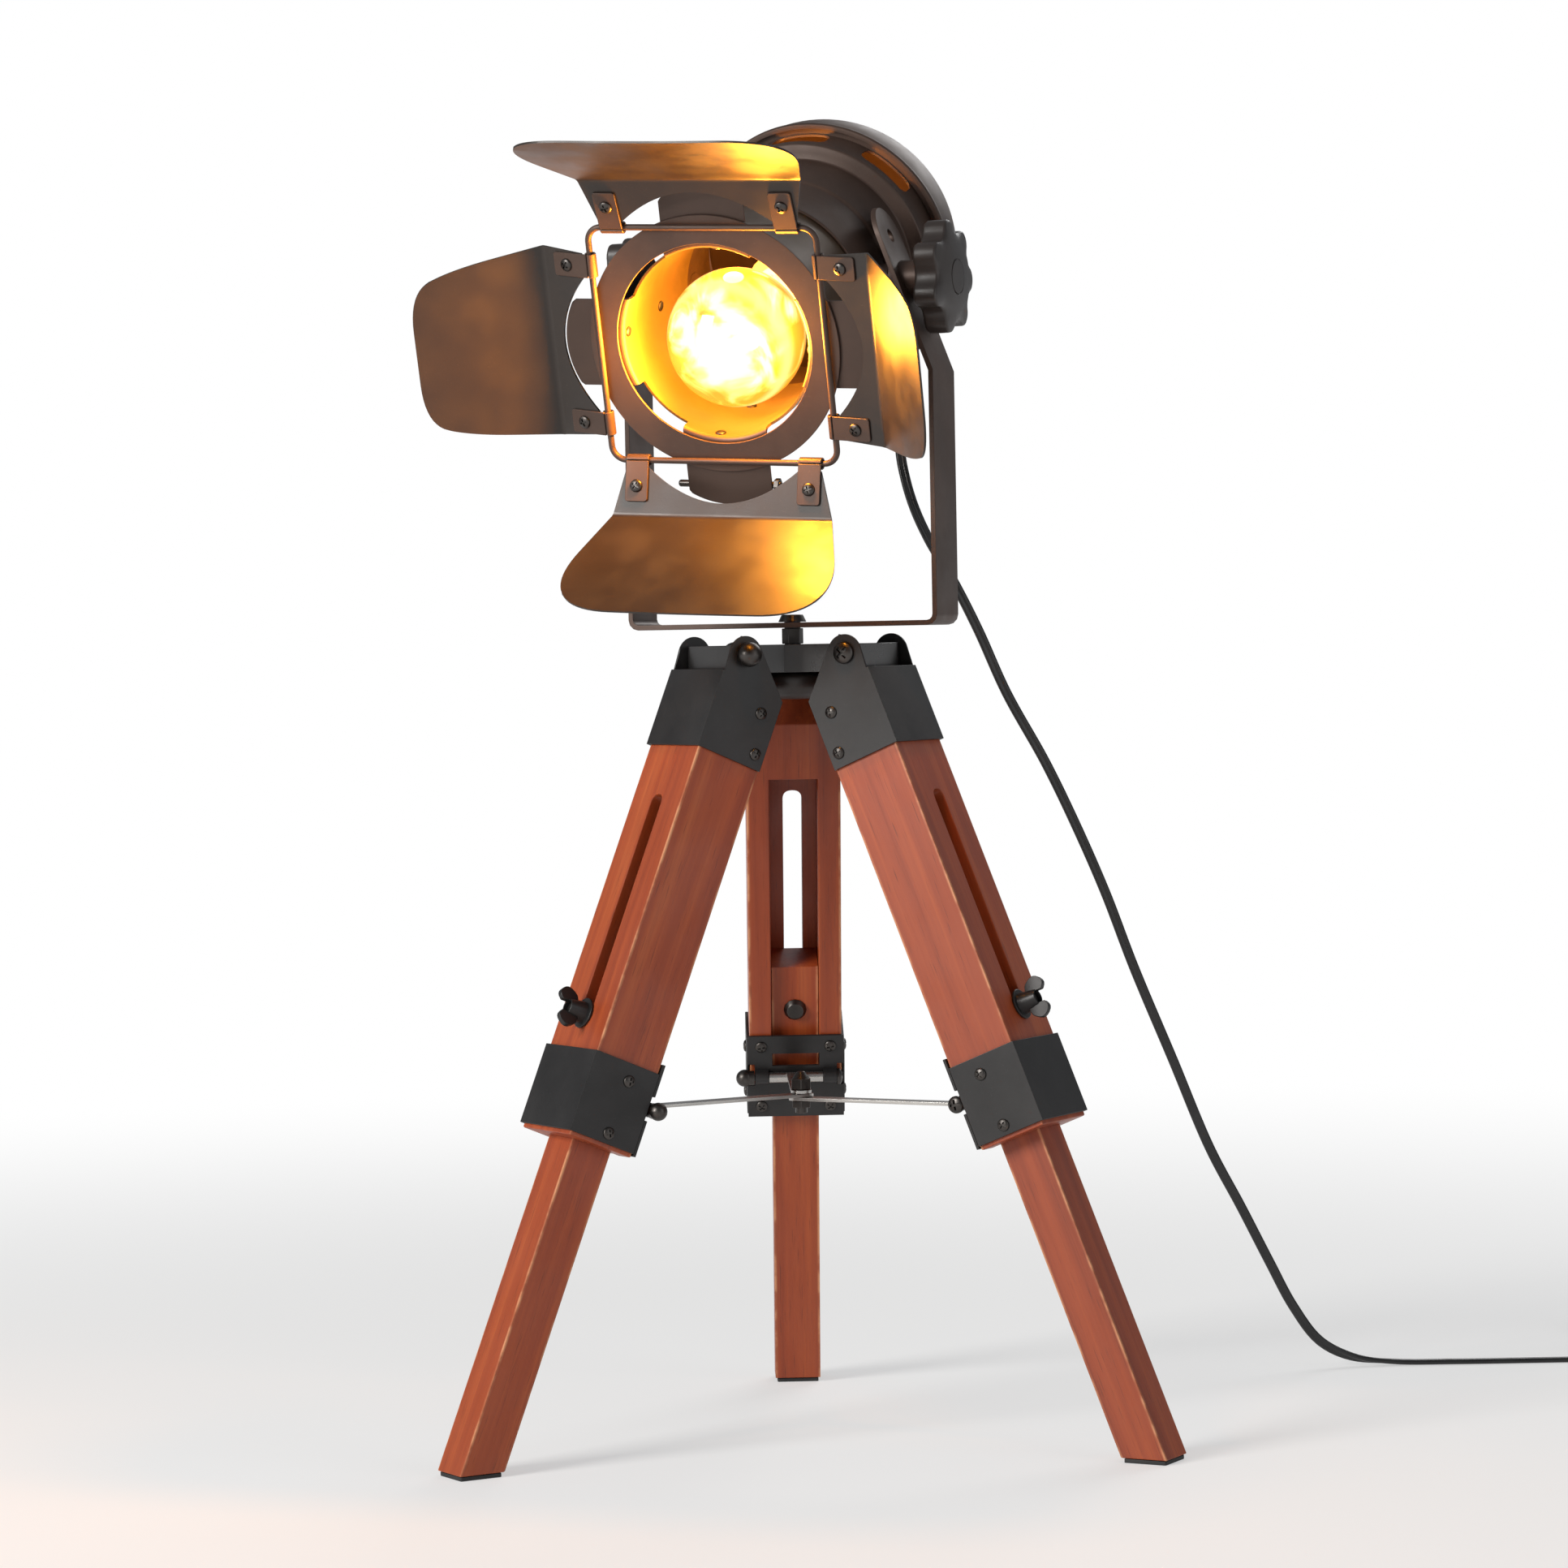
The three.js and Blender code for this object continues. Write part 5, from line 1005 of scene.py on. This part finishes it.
def ear_screw():
    """A long screw with a nut behind the lower ear."""
    y, z = EAR_SCREW
    profile = [(0, -27.5), (1.2, -27.5), (1.7, -26.8), (1.7, 24.5), (1.2, 25.2), (0, 25.2)]
    nut = prism(arc(EAR_SCREW, (EAR_NUT_RADIUS, EAR_NUT_RADIUS), 0, 360, 6)[:-1], "x", 21.9, 24.3)
    return joined(lathe(profile, 24, "x", u=y, v=z), nut)


def front_ring():
    outline = [(RING_INNER, RING_REAR, RING_CHAMFER), (RING_OUTER, RING_REAR, RING_CHAMFER),
               (RING_OUTER, RING_FRONT, RING_CHAMFER), (RING_INNER, RING_FRONT, RING_CHAMFER)]
    return lathe(rounded(outline, 1), 144, closed=True)


def wire_part():
    half = WIRE_HALF - WIRE_CORNER
    points = []
    for i, (u, v) in enumerate(((1, 1), (-1, 1), (-1, -1), (1, -1))):
        corner = arc((u * half, v * half), (WIRE_CORNER, WIRE_CORNER), i * 90, i * 90 + 90, 10)
        points += [Vector((x, WIRE_PLANE, z)) for x, z in corner]
    circle = arc((0, 0), (WIRE_RADIUS, WIRE_RADIUS), 0, 360, 16)[:-1]
    return sweep(points, circle, lambda i, forward: Vector((0, 1, 0)), closed=True)


made("barrel_rivets", rivets(), FRONT, "head", "dark_screw")
made("ear_screw", ear_screw(), FRONT, "head", "dark_screw", bevel=0.2)
# the barrel's inside carries a painted golden glow of the bulb's light
skin("front_barrel", thick(mesh_of("barrel", barrel_part()), WALL), FRONT, "head", "bronze_painted_glow_inside", smooth=50)
skin("front_ring", front_ring(), FRONT, "head", "bronze_paint", smooth=30)
skin("wire_frame", wire_part(), FRONT, "head", "bronze_paint", smooth=60)

# Barn doors: a flange between two rolled clips, and a bent, slightly warped flap

CLIP_HALF, CLIP_HEIGHT, CLIP_CORNER, CLIP_SCREW_PLACE = 5.75, 20, 1.6, 12.5
ROLL_OUTER, ROLL_INNER = 2.9, 1.85
FLANGE_EDGE, FLANGE_END, FLANGE_NOTCH, NOTCH_STEPS = 3.8, 27.0, 16.2, 24
FLAP_LENGTH, FLAP_ANGLE, BEND_REACH, BEND_STEPS = 66.0, 45, 1.7, 4
LEAF_PLANE, LEAF_WALL = -1.3, 1.0
# name, roll about the barrel, angle opened, half widths at the clips, the bend and the flare, and warp
DOORS = (("top", 0, 75, (44, 56, 71), 0.8), ("right", 90, 82, (39, 47, 41), -0.6),
         ("bottom", 180, 68, (44, 56, 71), -0.9), ("left", -90, 105, (39, 47, 41), 0.5))


def leaf_outline(clip, bend, flare):
    shoulder, corner, end = FLAP_LENGTH * 0.68, FLAP_LENGTH * 0.3, flare * 0.8
    flap = rounded([(-bend, 0), (-flare, shoulder, corner), (-end, FLAP_LENGTH, corner),
                    (end, FLAP_LENGTH, corner), (flare, shoulder, corner), (bend, 0)], 10)
    outline = [(-clip - CLIP_HALF, FLANGE_EDGE)] + [(u, FLANGE_END + v) for u, v in flap]
    outline.append((clip + CLIP_HALF, FLANGE_EDGE))
    for t in (k / NOTCH_STEPS for k in range(NOTCH_STEPS + 1)):
        outline.append(((clip - CLIP_HALF) * (1 - 2 * t), FLANGE_EDGE + FLANGE_NOTCH * 4 * t * (1 - t)))
    return outline


def leaf_mesh(clip, bend, flare, warp):
    bm = bmesh.new()
    bm.faces.new([bm.verts.new((u, 0, v)) for u, v in leaf_outline(clip, bend, flare)])
    start, end = FLANGE_END - BEND_REACH, FLANGE_END + BEND_REACH
    rows = [start + (end - start) * k / BEND_STEPS for k in range(BEND_STEPS + 1)] + list(range(36, 85, 8))
    cuts = [((0, 0, v), (0, 0, 1)) for v in rows] + [((u, 0, 0), (1, 0, 0)) for u in range(-48, 49, 16)]
    for place, normal in cuts:
        everything = bm.verts[:] + bm.edges[:] + bm.faces[:]
        bmesh.ops.bisect_plane(bm, geom=everything, dist=1e-5, plane_co=place, plane_no=normal)
    bmesh.ops.triangulate(bm, faces=[f for f in bm.faces if len(f.verts) > 4])
    turn = math.radians(FLAP_ANGLE)
    radius = BEND_REACH / math.tan(turn / 2)
    for v in bm.verts:
        x, _, s = v.co
        if s <= start:
            v.co = (x, LEAF_PLANE, s)
        elif s < end:
            t = (s - start) / (end - start) * turn
            v.co = (x, LEAF_PLANE - radius * (1 - math.cos(t)), start + radius * math.sin(t))
        else:
            out = s - FLANGE_END
            bow = warp * math.sin(x / 30 + 1.1) * (out / FLAP_LENGTH) ** 1.5 * 0.5
            v.co = (x, LEAF_PLANE - out * math.sin(turn) - bow * math.cos(turn),
                    FLANGE_END + out * math.cos(turn) - bow * math.sin(turn))
        v.co *= MM
    mesh = bpy.data.meshes.new("leaf")
    bm.to_mesh(mesh)
    bm.free()
    return thick(mesh, LEAF_WALL)


def clips_part(clip):
    parts = []
    roll = arc((0, 0), (ROLL_OUTER, ROLL_OUTER), 180, 460, 28)
    roll += arc((0, 0), (ROLL_INNER, ROLL_INNER), 460, 180, 28)
    for x in (-clip, clip):
        lo, hi = x - CLIP_HALF, x + CLIP_HALF
        plate = [(lo, 0.5), (hi, 0.5), (hi, CLIP_HEIGHT, CLIP_CORNER), (lo, CLIP_HEIGHT, CLIP_CORNER)]
        parts.append(prism(rounded(plate, 4), "y", -ROLL_OUTER, -ROLL_INNER))
        parts.append(prism(roll, "x", lo, hi))
    return joined(*parts)


def clip_screws(clip, roll):
    return screws_at(CLIP_SCREW, [((x, -ROLL_OUTER, CLIP_SCREW_PLACE), (0, -1, 0), 20 + 37 * k + roll)
                                  for k, x in enumerate((-clip, clip))])


for name, roll, opened, (clip, bend, flare), warp in DOORS:
    place = FRONT @ rot("Y", roll) @ at(0, WIRE_PLANE, WIRE_HALF) @ rot("X", 90 - opened)
    body = f"leaf_{name}"
    skin(f"barn_door_{name}", leaf_mesh(clip, bend, flare, warp), place, body, "leaf_bronze", smooth=50)
    made(f"door_clips_{name}", clips_part(clip), place, body, "bronze_paint", bevel=0.25, segments=1)
    made(f"door_screws_{name}", clip_screws(clip, roll), place, body, "dark_screw")

# Bulb, socket and bracket

GLOBE_PLACE, NECK_RADIUS = 103.6, 20
# radius of the bulb's cap and neck, and distance from the socket's seat
BULB_NECK = ((0, 20.0), (11, 20.0), (13, 22.5), (13, 44.5), (14, 45.4), (14.6, 52), (16.2, 62), (17.6, 69.5))


def bulb_part():
    start = math.degrees(math.asin(NECK_RADIUS / GLOBE_RADIUS)) - 90
    profile = [*BULB_NECK, *arc((0, GLOBE_PLACE), (GLOBE_RADIUS, GLOBE_RADIUS), start, 90, 40)]
    return lathe([(size, -distance) for size, distance in profile], 72)


bulb = skin("bulb", bulb_part(), LIGHT, "head", "amber_glow", smooth=60)
bulb.visible_shadow = False
bulb.visible_diffuse = False
dressed("socket", LIGHT, "head", "socket_porcelain", bevel=0.6, segments=3)
dressed("socket_bracket", HEAD, "head", "bright_steel", bevel=0.2)

# Floor, world and lights

FLOOR_COLOUR, WHITE = (0.82, 0.815, 0.805), (1, 1, 1)
FLOOR_HALF = 20000
# distances in metres between which the floor goes over to plain white, and the least share of white
FADE_FROM, FADE_TO, FADE_LEAST = 0.45, 1.9, 0.45
WORLD_COLOUR, WORLD_STRENGTH = (0.93, 0.96, 1.0), 0.24
AMBER, SPOT_ANGLE = (1.0, 0.36, 0.03), 165


def make_floor():
    look = Look("floor", 0.7)
    look.colour(FLOOR_COLOUR)
    far = look.add("Emission")
    far.inputs["Color"].default_value = (*WHITE, 1)
    x, y, _ = look.axes()
    away = look.distance(x, y)
    rays = look.add("LightPath")
    seen = look.math("MAXIMUM", rays.outputs["Is Camera Ray"],
                     look.math("MAXIMUM", rays.outputs["Is Glossy Ray"], rays.outputs["Is Transmission Ray"]))
    share = look.math("MULTIPLY", look.spread(away, FADE_FROM, FADE_TO, FADE_LEAST, 1.0), seen)
    blend = look.add("MixShader")
    look.link(share, blend.inputs[0])
    look.link(look.shader.outputs[0], blend.inputs[1])
    look.link(far.outputs[0], blend.inputs[2])
    look.link(blend.outputs[0], look.out.inputs[0])
    corners = [(u * FLOOR_HALF, v * FLOOR_HALF, 0) for u, v in ((-1, -1), (1, -1), (1, 1), (-1, 1))]
    floor = linked("floor", mesh_of("floor", (corners, [(0, 1, 2, 3)])))
    floor.data.materials.append(look.material)


def make_world():
    world = bpy.data.worlds.new("studio")
    bpy.context.scene.world = world
    world.use_nodes = True
    tree = world.node_tree
    tree.nodes.clear()
    out = tree.nodes.new("ShaderNodeOutputWorld")
    blend = tree.nodes.new("ShaderNodeMixShader")
    for socket, colour, strength in ((1, WORLD_COLOUR, WORLD_STRENGTH), (2, WHITE, 1.0)):
        light = tree.nodes.new("ShaderNodeBackground")
        light.inputs["Color"].default_value = (*colour, 1)
        light.inputs["Strength"].default_value = strength
        tree.links.new(light.outputs[0], blend.inputs[socket])
    rays = tree.nodes.new("ShaderNodeLightPath")
    either = tree.nodes.new("ShaderNodeMath")
    either.operation = "MAXIMUM"
    tree.links.new(rays.outputs["Is Camera Ray"], either.inputs[0])
    tree.links.new(rays.outputs["Is Transmission Ray"], either.inputs[1])
    tree.links.new(either.outputs[0], blend.inputs[0])
    tree.links.new(blend.outputs[0], out.inputs[0])


def area_light(name, place, target, size, power, colour):
    data = bpy.data.lights.new(name, "AREA")
    data.shape = "RECTANGLE"
    data.size, data.size_y = size
    data.energy = power
    data.color = colour
    light = linked(name, data)
    light.location = place
    light.rotation_euler = (Vector(target) - Vector(place)).to_track_quat("-Z", "Y").to_euler()


def bulb_light(name, place, power, radius, aim=None):
    """Amber light inside the head, which moves with it; one with an aim is a spot."""
    data = bpy.data.lights.new(name, "SPOT" if aim else "POINT")
    data.energy = power
    data.color = AMBER
    data.shadow_soft_size = radius
    if aim:
        data.spot_size = math.radians(SPOT_ANGLE)
        data.spot_blend = 1.0
        place = place @ turned_to(aim, start=(0, 0, -1))
    light = linked(name, data)
    light.parent = frame["bodies"]["head"]
    light.matrix_world = place


make_floor()
make_world()
area_light("key", (-2.0, -1.6, 1.35), (0, 0, 0.3), size=(1.0, 1.2), power=72, colour=(1.0, 0.985, 0.96))
area_light("fill", (1.9, -1.5, 1.0), (0, 0, 0.35), size=(1.4, 1.4), power=7, colour=(0.96, 0.98, 1.0))
area_light("back", (0.9, 1.9, 1.7), (0, 0, 0.4), size=(1.4, 1.0), power=16, colour=WHITE)
bulb_light("bulb_light", LIGHT @ at(0, -GLOBE_PLACE, 0), power=0.22, radius=0.02)
bulb_light("bulb_light_mouth", FRONT @ at(21, -94.5, 2), power=2.4, radius=0.014)
bulb_light("bulb_light_left", FRONT @ at(-10, -99, 0), power=6, radius=0.012, aim=(-1, -0.6, 0))
bulb_light("bulb_light_barrel", HEAD @ at(0, -60, 33), power=0.5, radius=0.008)
bulb_light("bulb_light_rear", HEAD @ at(0, 24, 40), power=0.14, radius=0.01)

bpy.context.scene.view_settings.view_transform = "Standard"
